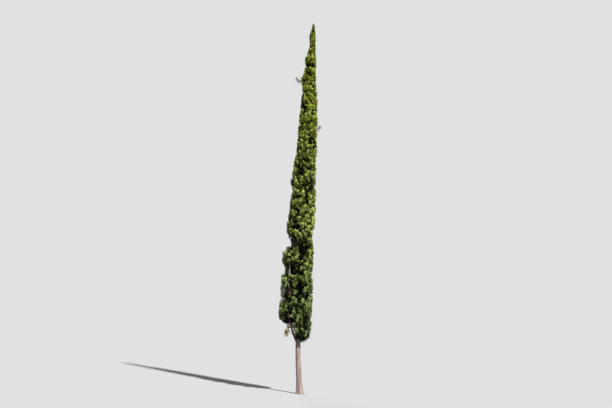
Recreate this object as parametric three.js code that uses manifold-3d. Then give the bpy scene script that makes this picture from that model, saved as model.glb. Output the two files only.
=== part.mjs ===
// A tall Italian cypress: a narrow evergreen spire on a short bare foot of trunk.
// Units are millimetres, +Z is up, and the origin is the centre of the flat cut at ground level.
// The side that is seen head-on faces -Y, so left is -X and right is +X.

import * as THREE from "three";
import { mergeVertices } from "three/addons/utils/BufferGeometryUtils.js";
import Module from "manifold-3d";

const wasm = await Module();
wasm.setup();

// The whole tree
const TREE_HEIGHT = 15500;
const CROWN_RADIUS = 685;
const CROWN_TIP_RADIUS = 30;
const CROWN_SWELL = 2.4; // how soon the cone fills out below its tip
const CROWN_FOOT = 2050; // nothing green hangs lower
const FULLER_LEFT = 0.2; // share by which the crown is wider on its left, near the ground
const FULLER_FADE = 6500; // height by which most of that has faded

// The trunk: it sweeps to the left above its foot, then stands upright to its tip
const TRUNK_TOP = 14700;
const TRUNK_LEAN = 370;
const TRUNK_LEAN_HEIGHT = 2700;
const TRUNK_SWAY = 35;
const BREAST_HEIGHT = 1300;
const BREAST_RADIUS = 104;
const TRUNK_TIP_RADIUS = 8;
const TRUNK_TAPER = 0.9;
const FLARE_RADIUS = 58;
const FLARE_HEIGHT = 240;
const ROOT_LOBES = 5;
const LOBE_SHARE = 0.16;
const LOBE_PHASE = 0.6;
const LOBE_FADE = 384; // height by which most of the lobes has faded
const TRUNK_SIDES = 16;
const TRUNK_RINGS = 14;
const RING_CROWDING = 1.9; // more than 1 puts the rings closer together near the ground

// Foliage masses stand round the trunk in tiers, each tier turned half a place from the one below
const FIRST_TIER = 2900; // height of the thickest part of the lowest masses
const TIER_PITCH = 1080;
const TIERS = 11;
const FULL_TIERS = 9; // tiers of three masses, the rest have two
const RISE = 1250; // height that a bough gains from the trunk out to the crown's outline
const THICKEST = 0.85; // share of the crown's radius where a mass is thickest
const LOW_LEFT_RAISE = 420; // how much higher the lowest mass on the left starts
const LOW_REACH = 0.3; // how far below its bough a lowest mass reaches, in tier pitches
const LARGEST_REACH = 1.15;
const LARGEST_PAIR_REACH = 1.5; // where a tier has two masses, each reaches a quarter of the way round
const TURN_SHIFT = 0.13; // most that a mass stands aside of its place
const HEIGHT_SHIFT = 110;
const MASS_SEED = 1000;
const LUMP_TOP = 6600; // below this height the masses on the left are separate lumps
const LUMP_FILL = 0.86;

// Boughs: bare limbs under the lowest masses and under the separate lumps
const BOUGH_END = 0.36; // share of the crown's radius where a bough ends
const BOUGH_ROOT_SHARE = 0.3; // share of the trunk's radius
const BOUGH_TAPER = 0.62;
const BOUGH_EXTRA = 4;
const LIMB_SIDES = 6;

// Cores, as shares of the crown's radius
const CORE_IN = 0.2;
const CORE_IN_ON_BOUGH = 0.42;
const CORE_OUT = 0.74;
const CORE_SIDES = 7;
const CORE_RINGS = 5;
const CORE_MARGIN = 0.09;
const CORE_SQUARENESS = 0.55; // 1 would leave the core a plain lens, less fills its space out to the edges

// Twigs and sprays
const SPRAYS = 13; // places in each mass where a spray may stand
const TWIG_EVERY = 4; // one spray in this many stands on a twig, the rest on the core
const TWIG_FORK = 0.5; // share of the crown's radius where twigs leave the stem
const TWIG_END = 0.86;
const TWIG_THIN = 9;
const TWIG_THICK = 16;
const TWIG_TAPER = 0.6;
const TWIG_SIDES = 3;
const SPREAD = 0.86; // share of a mass's space that the sprays spring from
const SPIN_SHIFT = 0.5;
const SPRING_ON_TWIG = 0.97; // share of a twig's length where its spray springs
const SPRING_SUNK = 0.02; // how deep in the core a spray springs, as a share of the crown's radius
const SPRAY_RISE_SMALL = 260;
const SPRAY_RISE_LARGE = 470;
const SPRAY_RISE_LEAST = 0.85;
const SPRAY_RISE_MOST = 1.2;
const SPRAY_REACH_LEAST = 0.93;
const SPRAY_REACH_MOST = 1.05;
const SPRAY_TURN_SHIFT = 0.2;
const SPRAY_FACING_SHIFT = 0.6;
const SPRAY_WIDTH = 0.5; // share of a spray's length
const SPRAY_THICKNESS = 0.13;
const ROOT_SUNK = 0.14;
const SPACE_MARGIN = 0.02;

// The leader: the mass round the trunk's tip, which ends in the top of the tree
const LEADER_SEED = 77;
const LEADER_CORE_TOP = 15130;
const LEADER_SPRAYS = 11;
const LEADER_FIRST_SPRAY = 14050;
const LEADER_LAST_SPRAY = 15040;
const LEADER_SPRING = 0.4; // share of the crown's radius
const LEADER_REACH_LEAST = 0.9;
const LEADER_REACH_MOST = 1.1;
const LEADER_SPRAY_RISE = 330;
const LEADER_SPRAY_WIDTH = 0.36;
const LEADER_TOP_RISE = 480;
const LEADER_TOP_WIDTH = 0.26; // share of the top spray's length
const LEADER_TOP_TURN = 0.4;
const LEADER_TOP_STEP = 90; // how much shorter the second of the two top sprays is

// The dry tuft that hangs on the left under the crown, on a bough of its own
const DRY_TURN = Math.PI + 0.62;
const DRY_FROM = 2080;
const DRY_TO = 2520;
const DRY_BOUGH_REACH = 400;
const DRY_STEM_LENGTH = 130;
const DRY_SPRAYS = 5;
const DRY_SPRAY_LENGTH = 430;
const DRY_RADIUS = 15;
const DRY_STEM_TAPER = 0.4;
const DRY_SHORTEST = 0.7;
const DRY_ASIDE = 90;
const DRY_INWARD = -40;
const DRY_OUTWARD = 120;
const DRY_SUNK = 0.05;

const CLEARANCE = 0.3;
const TAU = Math.PI * 2;
const LEFT = Math.PI;
const GOLDEN_ANGLE = Math.PI * (3 - Math.sqrt(5));
const UNIT_TURN = Math.PI / 3;

const { clamp, lerp } = THREE.MathUtils;

// A seeded generator of numbers from 0 to 1, the same on every run
function seeded(seed) {
  let state = seed >>> 0;
  return () => {
    state = (state + 0x6d2b79f5) >>> 0;
    let mixed = Math.imul(state ^ (state >>> 15), state | 1);
    mixed ^= mixed + Math.imul(mixed ^ (mixed >>> 7), mixed | 61);
    return ((mixed ^ (mixed >>> 14)) >>> 0) / 4294967296;
  };
}

function trunkCentre(z) {
  const lean = -TRUNK_LEAN * (1 - Math.exp(-Math.max(z, 0) / TRUNK_LEAN_HEIGHT));
  const sway = TRUNK_SWAY * Math.sin((TAU * z) / TREE_HEIGHT);
  return new THREE.Vector3(lean, sway, z);
}

function trunkRadius(z) {
  const below = clamp((TRUNK_TOP - z) / (TRUNK_TOP - BREAST_HEIGHT), 0, 2);
  const taper = lerp(TRUNK_TIP_RADIUS, BREAST_RADIUS, Math.pow(below, TRUNK_TAPER));
  return taper + FLARE_RADIUS * Math.exp(-z / FLARE_HEIGHT);
}

// The crown's outline: a cone that fills out early, and is fuller on the left low down
function crownRadius(turn, z) {
  const down = clamp((TREE_HEIGHT - z) / (TREE_HEIGHT - CROWN_FOOT), 0, 1);
  const mean = lerp(CROWN_TIP_RADIUS, CROWN_RADIUS, 1 - Math.pow(1 - down, CROWN_SWELL));
  const fuller = FULLER_LEFT * Math.exp(-Math.pow(z / FULLER_FADE, 2));
  return mean * (1 + fuller * Math.cos(turn - LEFT));
}

// A place in the crown, from its turn round the trunk, its share of the crown's radius and its height
function place(turn, share, z) {
  const reach = share * crownRadius(turn, z);
  return trunkCentre(z).add(new THREE.Vector3(Math.cos(turn) * reach, Math.sin(turn) * reach, 0));
}

// Level is height less what a bough has gained on its way out, so that each bough keeps to one level
function placeAtLevel(turn, share, level) {
  return place(turn, share, level + RISE * Math.min(share, 1));
}

function crownPlaceOf(point) {
  const centre = trunkCentre(point.z);
  const turn = Math.atan2(point.y - centre.y, point.x - centre.x);
  const share = Math.hypot(point.x - centre.x, point.y - centre.y) / crownRadius(turn, point.z);
  return { turn, share, level: point.z - RISE * Math.min(share, 1) };
}

// Each mass has a seed in turn and level. Its space is what lies nearer to that than to any other.
function makeSeeds() {
  const names = {
    even: ["left", "front_right", "back_right"],
    odd: ["back_left", "front_left", "right"],
    pairEven: ["front", "back"],
    pairOdd: ["left", "right"],
  };
  const turns = {
    left: LEFT,
    right: 0,
    front: -LEFT / 2,
    back: LEFT / 2,
    front_left: -LEFT + UNIT_TURN,
    back_left: LEFT - UNIT_TURN,
    front_right: -UNIT_TURN,
    back_right: UNIT_TURN,
  };
  const list = [];
  for (let tier = 0; tier < TIERS; tier++) {
    const [even, odd] = tier < FULL_TIERS ? [names.even, names.odd] : [names.pairOdd, names.pairEven];
    for (const side of tier % 2 ? odd : even) {
      const random = seeded(MASS_SEED + tier * 10 + list.length);
      const turn = turns[side] + lerp(-TURN_SHIFT, TURN_SHIFT, random());
      const height = FIRST_TIER + TIER_PITCH * tier + lerp(-HEIGHT_SHIFT, HEIGHT_SHIFT, random());
      const raise = tier === 0 && side === "left" ? LOW_LEFT_RAISE : 0;
      const isLump = side.endsWith("left") && height < LUMP_TOP;
      list.push({
        side: `${String(tier + 1).padStart(2, "0")}_${side}`,
        turn,
        tier,
        random,
        level: height - RISE * THICKEST + raise,
        fill: isLump ? LUMP_FILL : 1,
        onBough: isLump || tier < 2,
      });
    }
  }
  return list;
}

const seeds = makeSeeds();
const leaderLevel = FIRST_TIER + TIER_PITCH * TIERS - RISE * THICKEST;
const leaderFrom = (leaderLevel + Math.max(...seeds.map((seed) => seed.level))) / 2;

function turnBetween(from, to) {
  const turn = (to - from) % TAU;
  return turn - TAU * Math.round(turn / TAU);
}

// The way from one seed to a place, in units that put neighbouring seeds about one apart
function wayTo(seed, turn, level) {
  return [turnBetween(seed.turn, turn) / UNIT_TURN, (level - seed.level) / TIER_PITCH];
}

// How far a mass's space reaches from its seed in one direction, up to the first neighbour
function spaceReach(seed, across, along) {
  let reach = seed.tier < FULL_TIERS ? LARGEST_REACH : LARGEST_PAIR_REACH;
  for (const other of seeds) {
    if (other === seed) continue;
    const [x, y] = wayTo(seed, other.turn, other.level);
    const towards = x * across + y * along;
    if (towards > 0) reach = Math.min(reach, (x * x + y * y) / (2 * towards));
  }
  if (along > 0) reach = Math.min(reach, (leaderFrom - seed.level) / TIER_PITCH / along);
  if (along < 0 && seed.tier === 0) reach = Math.min(reach, LOW_REACH / -along);
  return reach * seed.fill;
}

function isInSpace(seed, point) {
  if (point.z < CROWN_FOOT || point.z > TREE_HEIGHT) return false;
  const at = crownPlaceOf(point);
  const [x, y] = wayTo(seed, at.turn, at.level);
  const distance = Math.max(Math.hypot(x, y), 1e-6);
  return distance < spaceReach(seed, x / distance, y / distance) - SPACE_MARGIN;
}

// From geometry to a solid and back
function solidOf(geometry) {
  geometry.deleteAttribute("normal");
  geometry.deleteAttribute("uv");
  const merged = mergeVertices(geometry, 1e-3);
  const mesh = new wasm.Mesh({
    numProp: 3,
    vertProperties: merged.attributes.position.array,
    triVerts: new Uint32Array(merged.index.array),
  });
  return new wasm.Manifold(mesh);
}

function geometryOf(solid) {
  const { numProp, numVert, vertProperties, triVerts } = solid.getMesh();
  const position = new Float32Array(numVert * 3);
  for (let i = 0; i < numVert; i++) {
    position.set(vertProperties.subarray(i * numProp, i * numProp + 3), i * 3);
  }
  const geometry = new THREE.BufferGeometry();
  geometry.setAttribute("position", new THREE.BufferAttribute(position, 3));
  geometry.setIndex(new THREE.BufferAttribute(triVerts, 1));
  const faceted = geometry.toNonIndexed();
  faceted.computeVertexNormals();
  return faceted;
}

// The body that holds nearly all of a fused solid: loose scraps are dropped and sealed hollows filled
function mainBody(solid) {
  return solid.decompose().reduce((most, body) => (body.volume() > most.volume() ? body : most));
}

// A limb: a cylinder reshaped so that its axis runs from one point to another and its radius tapers
function limbSolid(from, to, rootRadius, tipRadius, sides) {
  const geometry = new THREE.CylinderGeometry(tipRadius, rootRadius, 1, sides, 1);
  const ahead = to.clone().sub(from);
  const upright = new THREE.Vector3(0, 1, 0);
  const turn = new THREE.Quaternion().setFromUnitVectors(upright, ahead.clone().normalize());
  geometry.translate(0, 0.5, 0).scale(1, ahead.length(), 1);
  geometry.applyQuaternion(turn).translate(from.x, from.y, from.z);
  return solidOf(geometry);
}

// The trunk, with its rings closer together in the flare. Extra makes a copy that is larger all over.
function trunkSolid(extra) {
  const geometry = new THREE.CylinderGeometry(1, 1, 1, TRUNK_SIDES, TRUNK_RINGS);
  const position = geometry.attributes.position;
  for (let i = 0; i < position.count; i++) {
    const along = position.getY(i) + 0.5;
    const z = TRUNK_TOP * Math.pow(along, RING_CROWDING);
    const turn = Math.atan2(-position.getZ(i), position.getX(i));
    const lobes = LOBE_SHARE * Math.cos(ROOT_LOBES * turn + LOBE_PHASE) * Math.exp(-z / LOBE_FADE);
    const isRim = Math.hypot(position.getX(i), position.getZ(i)) > 0.5;
    const reach = isRim ? trunkRadius(z) * (1 + lobes) + extra : 0;
    const centre = trunkCentre(z);
    const past = along < 1e-6 ? -extra : along > 1 - 1e-6 ? extra : 0;
    const [x, y] = [Math.cos(turn) * reach, Math.sin(turn) * reach];
    position.setXYZ(i, centre.x + x, centre.y + y, z + past);
  }
  return solidOf(geometry);
}

// The outline of a spray, across and along it from its root: an upright plume with a tooth to each side
const SPRAY_OUTLINE = [
  [0, 0],
  [0.5, 0.58],
  [0.2, 0.62],
  [0, 1],
  [-0.2, 0.7],
  [-0.5, 0.5],
];
const SPRAY_MIDDLE = 0.45;

// The corners of one spray: its rim, and a point on each face where it is thickest
function sprayCorners(root, tip, side, width = SPRAY_WIDTH) {
  const length = root.distanceTo(tip);
  const ahead = tip.clone().sub(root).normalize();
  const across = side.clone().addScaledVector(ahead, -side.dot(ahead)).normalize();
  const through = new THREE.Vector3().crossVectors(across, ahead);
  const corner = (x, y, t) =>
    root
      .clone()
      .addScaledVector(ahead, y * length)
      .addScaledVector(across, x * length * width)
      .addScaledVector(through, t * length * SPRAY_THICKNESS);
  const rim = SPRAY_OUTLINE.map(([x, y]) => corner(x, y, 0));
  return [...rim, corner(0, SPRAY_MIDDLE, 0.5), corner(0, SPRAY_MIDDLE, -0.5)];
}

function spraySolid(corners) {
  const rim = SPRAY_OUTLINE.length;
  const faces = SPRAY_OUTLINE.flatMap((_, i) => {
    const next = (i + 1) % rim;
    return [i, next, rim, next, i, rim + 1];
  });
  const geometry = new THREE.BufferGeometry().setFromPoints(corners);
  geometry.setIndex(faces);
  return solidOf(geometry);
}

// The two sides of a sphere's seam differ by rounding dust, which a root would make large
function withoutDust(value) {
  return Math.abs(value) < 1e-6 ? 0 : value;
}

// Where the face of a mass's core is, as a share of the crown's radius. Outward is 1 at the middle of
// its outer face, -1 at the middle of its inner face and 0 round its edge.
function coreShare(seed, outward) {
  const bulge = Math.sign(outward) * Math.pow(Math.abs(outward), CORE_SQUARENESS);
  return lerp(seed.onBough ? CORE_IN_ON_BOUGH : CORE_IN, CORE_OUT, (bulge + 1) / 2);
}

// The core of a mass: a sphere reshaped to fill the middle of its space, like a thick leaning lens
function coreSolid(seed) {
  const geometry = new THREE.SphereGeometry(1, CORE_SIDES, CORE_RINGS);
  const position = geometry.attributes.position;
  for (let i = 0; i < position.count; i++) {
    const [x, y, z] = ["getX", "getY", "getZ"].map((axis) => withoutDust(position[axis](i)));
    const flat = Math.max(Math.hypot(x, y), 1e-6);
    const [across, along] = [x / flat, y / flat];
    const reach = Math.pow(flat, CORE_SQUARENESS) * (spaceReach(seed, across, along) - CORE_MARGIN);
    const turn = seed.turn + across * reach * UNIT_TURN;
    const level = seed.level + along * reach * TIER_PITCH;
    const point = placeAtLevel(turn, coreShare(seed, z), level);
    position.setXYZ(i, point.x, point.y, point.z);
  }
  return solidOf(geometry);
}

// One spray: it springs from inside the core or a twig and rises to the crown's outline
function growSpray(seed, spring, blocked) {
  const { random } = seed;
  const at = crownPlaceOf(spring);
  const size = crownRadius(at.turn, spring.z) / CROWN_RADIUS;
  const vigour = lerp(SPRAY_RISE_LEAST, SPRAY_RISE_MOST, random());
  const top = Math.min(spring.z + lerp(SPRAY_RISE_SMALL, SPRAY_RISE_LARGE, size) * vigour, TREE_HEIGHT);
  const tipTurn = at.turn + lerp(-SPRAY_TURN_SHIFT, SPRAY_TURN_SHIFT, random());
  const tip = place(tipTurn, lerp(SPRAY_REACH_LEAST, SPRAY_REACH_MOST, random()), top);
  const root = spring.clone().lerp(tip, -ROOT_SUNK);
  const facing = at.turn + Math.PI / 2 + lerp(-SPRAY_FACING_SHIFT, SPRAY_FACING_SHIFT, random());
  const corners = sprayCorners(root, tip, new THREE.Vector3(Math.cos(facing), Math.sin(facing), 0));
  if (!corners.slice(1).every((point) => isInSpace(seed, point))) return [];
  const spray = spraySolid(corners);
  return spray.intersect(blocked).isEmpty() ? [spray] : [];
}

// Sprays stand all over the outer face of a mass, and every few of them on a twig that forks from its stem
function growTwigs(seed, blocked) {
  const pieces = [];
  for (let i = 0; i < SPRAYS; i++) {
    const spin = GOLDEN_ANGLE * i + seed.random() * SPIN_SHIFT;
    const [across, along] = [Math.cos(spin), Math.sin(spin)];
    const filled = Math.sqrt((i + 0.5) / SPRAYS) * SPREAD;
    const reach = filled * spaceReach(seed, across, along);
    const turn = seed.turn + across * reach * UNIT_TURN;
    const level = seed.level + along * reach * TIER_PITCH;
    if (i % TWIG_EVERY === 1) {
      const fork = placeAtLevel(seed.turn, TWIG_FORK, seed.level);
      const end = placeAtLevel(turn, TWIG_END, level);
      const thick = lerp(TWIG_THIN, TWIG_THICK, crownRadius(turn, end.z) / CROWN_RADIUS);
      const spray = growSpray(seed, fork.clone().lerp(end, SPRING_ON_TWIG), blocked);
      const twig = limbSolid(fork, end, thick, thick * TWIG_TAPER, TWIG_SIDES);
      if (spray.length) pieces.push(twig, ...spray);
    } else {
      const outward = Math.sqrt(1 - Math.pow(filled, 2 / CORE_SQUARENESS));
      const spring = placeAtLevel(turn, coreShare(seed, outward) - SPRING_SUNK, level);
      pieces.push(...growSpray(seed, spring, blocked));
    }
  }
  return pieces;
}

// The limb that carries a mass leaves the trunk and keeps to the mass's level. Where it is a bough it is
// a piece of its own up to the mass, and the stem of the mass carries on from its tip.
function limbPiece(seed, fromShare, toShare) {
  const root = placeAtLevel(seed.turn, 0, seed.level);
  const end = placeAtLevel(seed.turn, TWIG_FORK, seed.level);
  const thick = trunkRadius(root.z) * BOUGH_ROOT_SHARE + BOUGH_EXTRA;
  const radiusAt = (share) => thick * lerp(1, BOUGH_TAPER, share / TWIG_FORK);
  const pointAt = (share) => root.clone().lerp(end, share / TWIG_FORK);
  const [from, to] = [pointAt(fromShare), pointAt(toShare)];
  return limbSolid(from, to, radiusAt(fromShare), radiusAt(toShare), LIMB_SIDES);
}

// The leader's core is a spindle that keeps above the boughs of the highest masses
function leaderCore() {
  const geometry = new THREE.SphereGeometry(1, CORE_SIDES, CORE_RINGS + 1);
  const position = geometry.attributes.position;
  const lowest = leaderFrom + (CORE_IN + CORE_MARGIN) * RISE;
  for (let i = 0; i < position.count; i++) {
    const z = lerp(lowest, LEADER_CORE_TOP, (position.getY(i) + 1) / 2);
    const turn = Math.atan2(-position.getZ(i), position.getX(i));
    const round = Math.hypot(position.getX(i), position.getZ(i));
    const share = round * Math.min(CORE_OUT, (z - leaderFrom) / RISE - CORE_MARGIN / 2);
    const point = place(turn, share, z);
    position.setXYZ(i, point.x, point.y, point.z);
  }
  return solidOf(geometry);
}

// The leader's sprays go up round it in a spiral, and two crossed ones make its top
function leaderSolid(blocked) {
  const random = seeded(LEADER_SEED);
  const pieces = [leaderCore()];
  for (let i = 0; i < LEADER_SPRAYS; i++) {
    const turn = GOLDEN_ANGLE * i;
    const z = lerp(LEADER_FIRST_SPRAY, LEADER_LAST_SPRAY, i / LEADER_SPRAYS);
    const root = place(turn, LEADER_SPRING, z);
    const reach = lerp(LEADER_REACH_LEAST, LEADER_REACH_MOST, random());
    const tip = place(turn, reach, z + LEADER_SPRAY_RISE);
    const across = new THREE.Vector3(-Math.sin(turn), Math.cos(turn), 0);
    pieces.push(spraySolid(sprayCorners(root, tip, across, LEADER_SPRAY_WIDTH)));
  }
  for (let i = 0; i < 2; i++) {
    const turn = LEADER_TOP_TURN + (i * TAU) / 4;
    const across = new THREE.Vector3(Math.cos(turn), Math.sin(turn), 0);
    const root = trunkCentre(TREE_HEIGHT - LEADER_TOP_RISE);
    const tip = trunkCentre(TREE_HEIGHT - i * LEADER_TOP_STEP);
    pieces.push(spraySolid(sprayCorners(root, tip, across, LEADER_TOP_WIDTH)));
  }
  return mainBody(wasm.Manifold.union(pieces).subtract(blocked));
}

// The dry tuft: a bare bough, and a few sprays that hang from the stem beyond it
function dryPieces(blocked) {
  const outward = new THREE.Vector3(Math.cos(DRY_TURN), Math.sin(DRY_TURN), 0);
  const across = new THREE.Vector3(-outward.y, outward.x, 0);
  const root = trunkCentre(DRY_FROM);
  const tip = trunkCentre(DRY_TO).addScaledVector(outward, DRY_BOUGH_REACH);
  const bough = limbSolid(root, tip, DRY_RADIUS, DRY_RADIUS * BOUGH_TAPER, LIMB_SIDES);
  const ahead = tip.clone().sub(root).normalize();
  const stemFrom = tip.clone().addScaledVector(ahead, CLEARANCE);
  const stemTo = tip.clone().addScaledVector(ahead, DRY_STEM_LENGTH);
  const [thick, thin] = [DRY_RADIUS * BOUGH_TAPER, DRY_RADIUS * DRY_STEM_TAPER];
  const pieces = [limbSolid(stemFrom, stemTo, thick, thin, LIMB_SIDES)];
  for (let i = 0; i < DRY_SPRAYS; i++) {
    const along = i / (DRY_SPRAYS - 1);
    const spring = stemFrom.clone().lerp(stemTo, lerp(0.3, 0.9, along));
    const hang = new THREE.Vector3(0, 0, -DRY_SPRAY_LENGTH * lerp(DRY_SHORTEST, 1, along));
    const end = spring.clone().add(hang);
    end.addScaledVector(across, i % 2 ? DRY_ASIDE : -DRY_ASIDE);
    end.addScaledVector(outward, lerp(DRY_INWARD, DRY_OUTWARD, along));
    const sunkRoot = spring.clone().lerp(end, -DRY_SUNK);
    pieces.push(spraySolid(sprayCorners(sunkRoot, end, i % 2 ? outward : across)));
  }
  return [mainBody(bough.subtract(blocked)), mainBody(wasm.Manifold.union(pieces))];
}

const bark = new THREE.MeshStandardMaterial({ color: 0x8d7a6b, roughness: 0.95, metalness: 0 });
const foliage = new THREE.MeshStandardMaterial({ color: 0x5b6b24, roughness: 0.8, metalness: 0 });
const dryFoliage = new THREE.MeshStandardMaterial({ color: 0x8a6f48, roughness: 0.9, metalness: 0 });

function meshOf(name, solid, material) {
  const mesh = new THREE.Mesh(geometryOf(solid), material);
  mesh.name = name;
  return mesh;
}

const tree = new THREE.Group();
const trunkClear = trunkSolid(CLEARANCE);
tree.add(meshOf("trunk", trunkSolid(0), bark));

for (const seed of seeds) {
  const stemFrom = seed.onBough ? BOUGH_END : 0;
  if (seed.onBough) {
    const bough = limbPiece(seed, 0, BOUGH_END - CLEARANCE / RISE).subtract(trunkClear);
    tree.add(meshOf(`bough_${seed.side}`, mainBody(bough), bark));
  }
  const pieces = [coreSolid(seed), limbPiece(seed, stemFrom, TWIG_FORK), ...growTwigs(seed, trunkClear)];
  const fused = wasm.Manifold.union(pieces).subtract(trunkClear);
  tree.add(meshOf(`foliage_${seed.side}`, mainBody(fused), foliage));
}

tree.add(meshOf("foliage_tip", leaderSolid(trunkClear), foliage));

const [dryBough, dryTuft] = dryPieces(trunkClear);
tree.add(meshOf("bough_dry", dryBough, bark));
tree.add(meshOf("foliage_dry", dryTuft, dryFoliage));

export default tree;
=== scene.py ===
# %% [markdown]
# # An Italian cypress, dressed
#
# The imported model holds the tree's construction: a trunk, a few bare boughs and the foliage as plain masses
# in tiers. This script gives it its looks. The trunk and boughs get bark with real relief, and each mass is
# replaced by the limbs, twigs and thousands of sprays that it stands for.
#
# Everything is in metres, +Z is up, and the origin is the middle of the flat cut under the trunk. The side
# that the photograph shows faces -Y, so left is -X.

# %% Load the frame
import math

import bpy
import numpy as np
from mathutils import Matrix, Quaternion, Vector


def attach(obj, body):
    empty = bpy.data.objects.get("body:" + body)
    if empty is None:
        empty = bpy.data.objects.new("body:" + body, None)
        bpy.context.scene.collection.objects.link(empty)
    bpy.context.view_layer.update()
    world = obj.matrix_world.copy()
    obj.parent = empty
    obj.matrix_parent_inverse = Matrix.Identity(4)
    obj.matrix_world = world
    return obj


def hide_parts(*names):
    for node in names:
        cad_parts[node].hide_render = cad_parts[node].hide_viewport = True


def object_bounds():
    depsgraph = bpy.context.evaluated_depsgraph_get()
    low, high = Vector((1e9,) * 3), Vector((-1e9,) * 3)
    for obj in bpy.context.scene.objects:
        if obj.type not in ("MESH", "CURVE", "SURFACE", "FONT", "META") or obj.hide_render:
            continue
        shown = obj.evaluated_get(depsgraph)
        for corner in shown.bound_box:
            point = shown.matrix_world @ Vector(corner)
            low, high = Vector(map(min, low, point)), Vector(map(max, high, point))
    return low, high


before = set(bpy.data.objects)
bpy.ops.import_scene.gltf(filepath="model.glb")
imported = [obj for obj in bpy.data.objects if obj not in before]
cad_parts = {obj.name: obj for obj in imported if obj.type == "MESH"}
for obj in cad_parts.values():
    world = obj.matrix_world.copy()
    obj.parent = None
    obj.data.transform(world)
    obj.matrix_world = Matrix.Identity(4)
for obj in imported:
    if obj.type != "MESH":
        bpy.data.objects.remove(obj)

cad_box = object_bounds()
print("nodes in the frame:", len(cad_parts))

# %% [markdown]
# ## The rule that the tree grows by
#
# A columnar cypress is one straight leader with many thin boughs. Each bough leaves the trunk and turns
# almost straight up, so its foliage hangs round the trunk like a sleeve. Three measures describe a place in
# such a crown: the turn round the trunk, the share of the crown's radius, and the level. Level is the height
# less what a bough has climbed on its way out, so each bough keeps to one level.
#
# The numbers below are the same ones that the solids were made from, in metres. Using the same rule again
# keeps every spray within the reach of the mass that it replaces.

# %% Sizes of the tree
TREE_HEIGHT = 15.5
CROWN_RADIUS = 0.685
CROWN_TIP_RADIUS = 0.03
CROWN_SWELL = 2.4
CROWN_FOOT = 2.05
FULLER_LEFT = 0.2
FULLER_FADE = 6.5

TRUNK_TOP = 14.7
TRUNK_LEAN = 0.37
TRUNK_LEAN_HEIGHT = 2.7
TRUNK_SWAY = 0.035
BREAST_HEIGHT = 1.3
BREAST_RADIUS = 0.104
TRUNK_TIP_RADIUS = 0.008
TRUNK_TAPER = 0.9
FLARE_RADIUS = 0.058
FLARE_HEIGHT = 0.24
ROOT_LOBES = 5
LOBE_SHARE = 0.16

FIRST_TIER = 2.9
TIER_PITCH = 1.08
TIERS = 11
FULL_TIERS = 9
RISE = 1.25
THICKEST = 0.85
LOW_LEFT_RAISE = 0.42
LOW_REACH = 0.3
LARGEST_REACH = 1.15
LARGEST_PAIR_REACH = 1.5
LUMP_TOP = 6.6
LUMP_FILL = 0.86

TINY = 1e-9
TAU = 2 * math.pi
LEFT = math.pi
FRONT = -math.pi / 2
UNIT_TURN = math.pi / 3
GOLDEN_ANGLE = math.pi * (3 - math.sqrt(5))


# %% The trunk's line and the crown's outline
def trunk_centre(z):
    """Middle of the trunk at height z: it leans left by an amount that grows and levels off with height,
    lean * (1 - e^(-z / lean height)), and sways once from front to back over the tree's height."""
    z = np.asarray(z, float)
    lean = -TRUNK_LEAN * (1 - np.exp(-np.maximum(z, 0) / TRUNK_LEAN_HEIGHT))
    sway = TRUNK_SWAY * np.sin(TAU * z / TREE_HEIGHT)
    return np.stack([lean, sway, z], axis=-1)


def trunk_radius(z):
    """Radius at height z: a taper from breast height to the tip, plus a flare that dies away upwards."""
    below = np.clip((TRUNK_TOP - z) / (TRUNK_TOP - BREAST_HEIGHT), 0, 2)
    taper = TRUNK_TIP_RADIUS + (BREAST_RADIUS - TRUNK_TIP_RADIUS) * below**TRUNK_TAPER
    return taper + FLARE_RADIUS * np.exp(-z / FLARE_HEIGHT)


def crown_radius(turn, z):
    """Outline of the crown: a cone that fills out early, 1 - (1 - depth below the tip)^swell, and that is
    fuller on the left low down."""
    down = np.clip((TREE_HEIGHT - z) / (TREE_HEIGHT - CROWN_FOOT), 0, 1)
    mean = CROWN_TIP_RADIUS + (CROWN_RADIUS - CROWN_TIP_RADIUS) * (1 - (1 - down) ** CROWN_SWELL)
    return mean * (1 + FULLER_LEFT * np.exp(-((z / FULLER_FADE) ** 2)) * np.cos(turn - LEFT))


def place(turn, share, z):
    """The point at this turn round the trunk, share of the crown's radius, and height."""
    reach = share * crown_radius(turn, z)
    flat = np.stack([np.cos(turn) * reach, np.sin(turn) * reach, np.zeros_like(reach)], axis=-1)
    return trunk_centre(z) + flat


def place_at_level(turn, share, level):
    """The same, with the level given in place of the height: height = level + rise * share."""
    return place(turn, share, level + RISE * np.minimum(share, 1))


widths = 2 * crown_radius(FRONT, np.array([4.0, 8.0, 12.0]))
print("crown width at 4, 8 and 12 m:", widths.round(2).tolist())

# %% [markdown]
# ## The seeds of the masses
#
# The masses stand in tiers, each tier turned half a place from the one below. Each mass takes the part of
# the crown that lies nearest to its own seed, a point in the tier with small shifts of its own. The shifts
# come from a seeded generator. It is written out here in whole numbers, so that it draws exactly what the
# solids were made with, and the sprays fill the very spaces that the masses leave.

# %% Draw the seeds
WHOLE = 0xFFFFFFFF
STATE_STEP = 0x6D2B79F5


def seeded(seed):
    """A generator of numbers from 0 to 1: the state steps by a fixed odd number, and its bits are mixed by
    shifts and products in 32-bit whole numbers."""
    state = seed & WHOLE
    while True:
        state = (state + STATE_STEP) & WHOLE
        mixed = ((state ^ (state >> 15)) * (state | 1)) & WHOLE
        mixed ^= (mixed + (((mixed ^ (mixed >> 7)) * (mixed | 61)) & WHOLE)) & WHOLE
        yield ((mixed ^ (mixed >> 14)) & WHOLE) / (WHOLE + 1)


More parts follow.
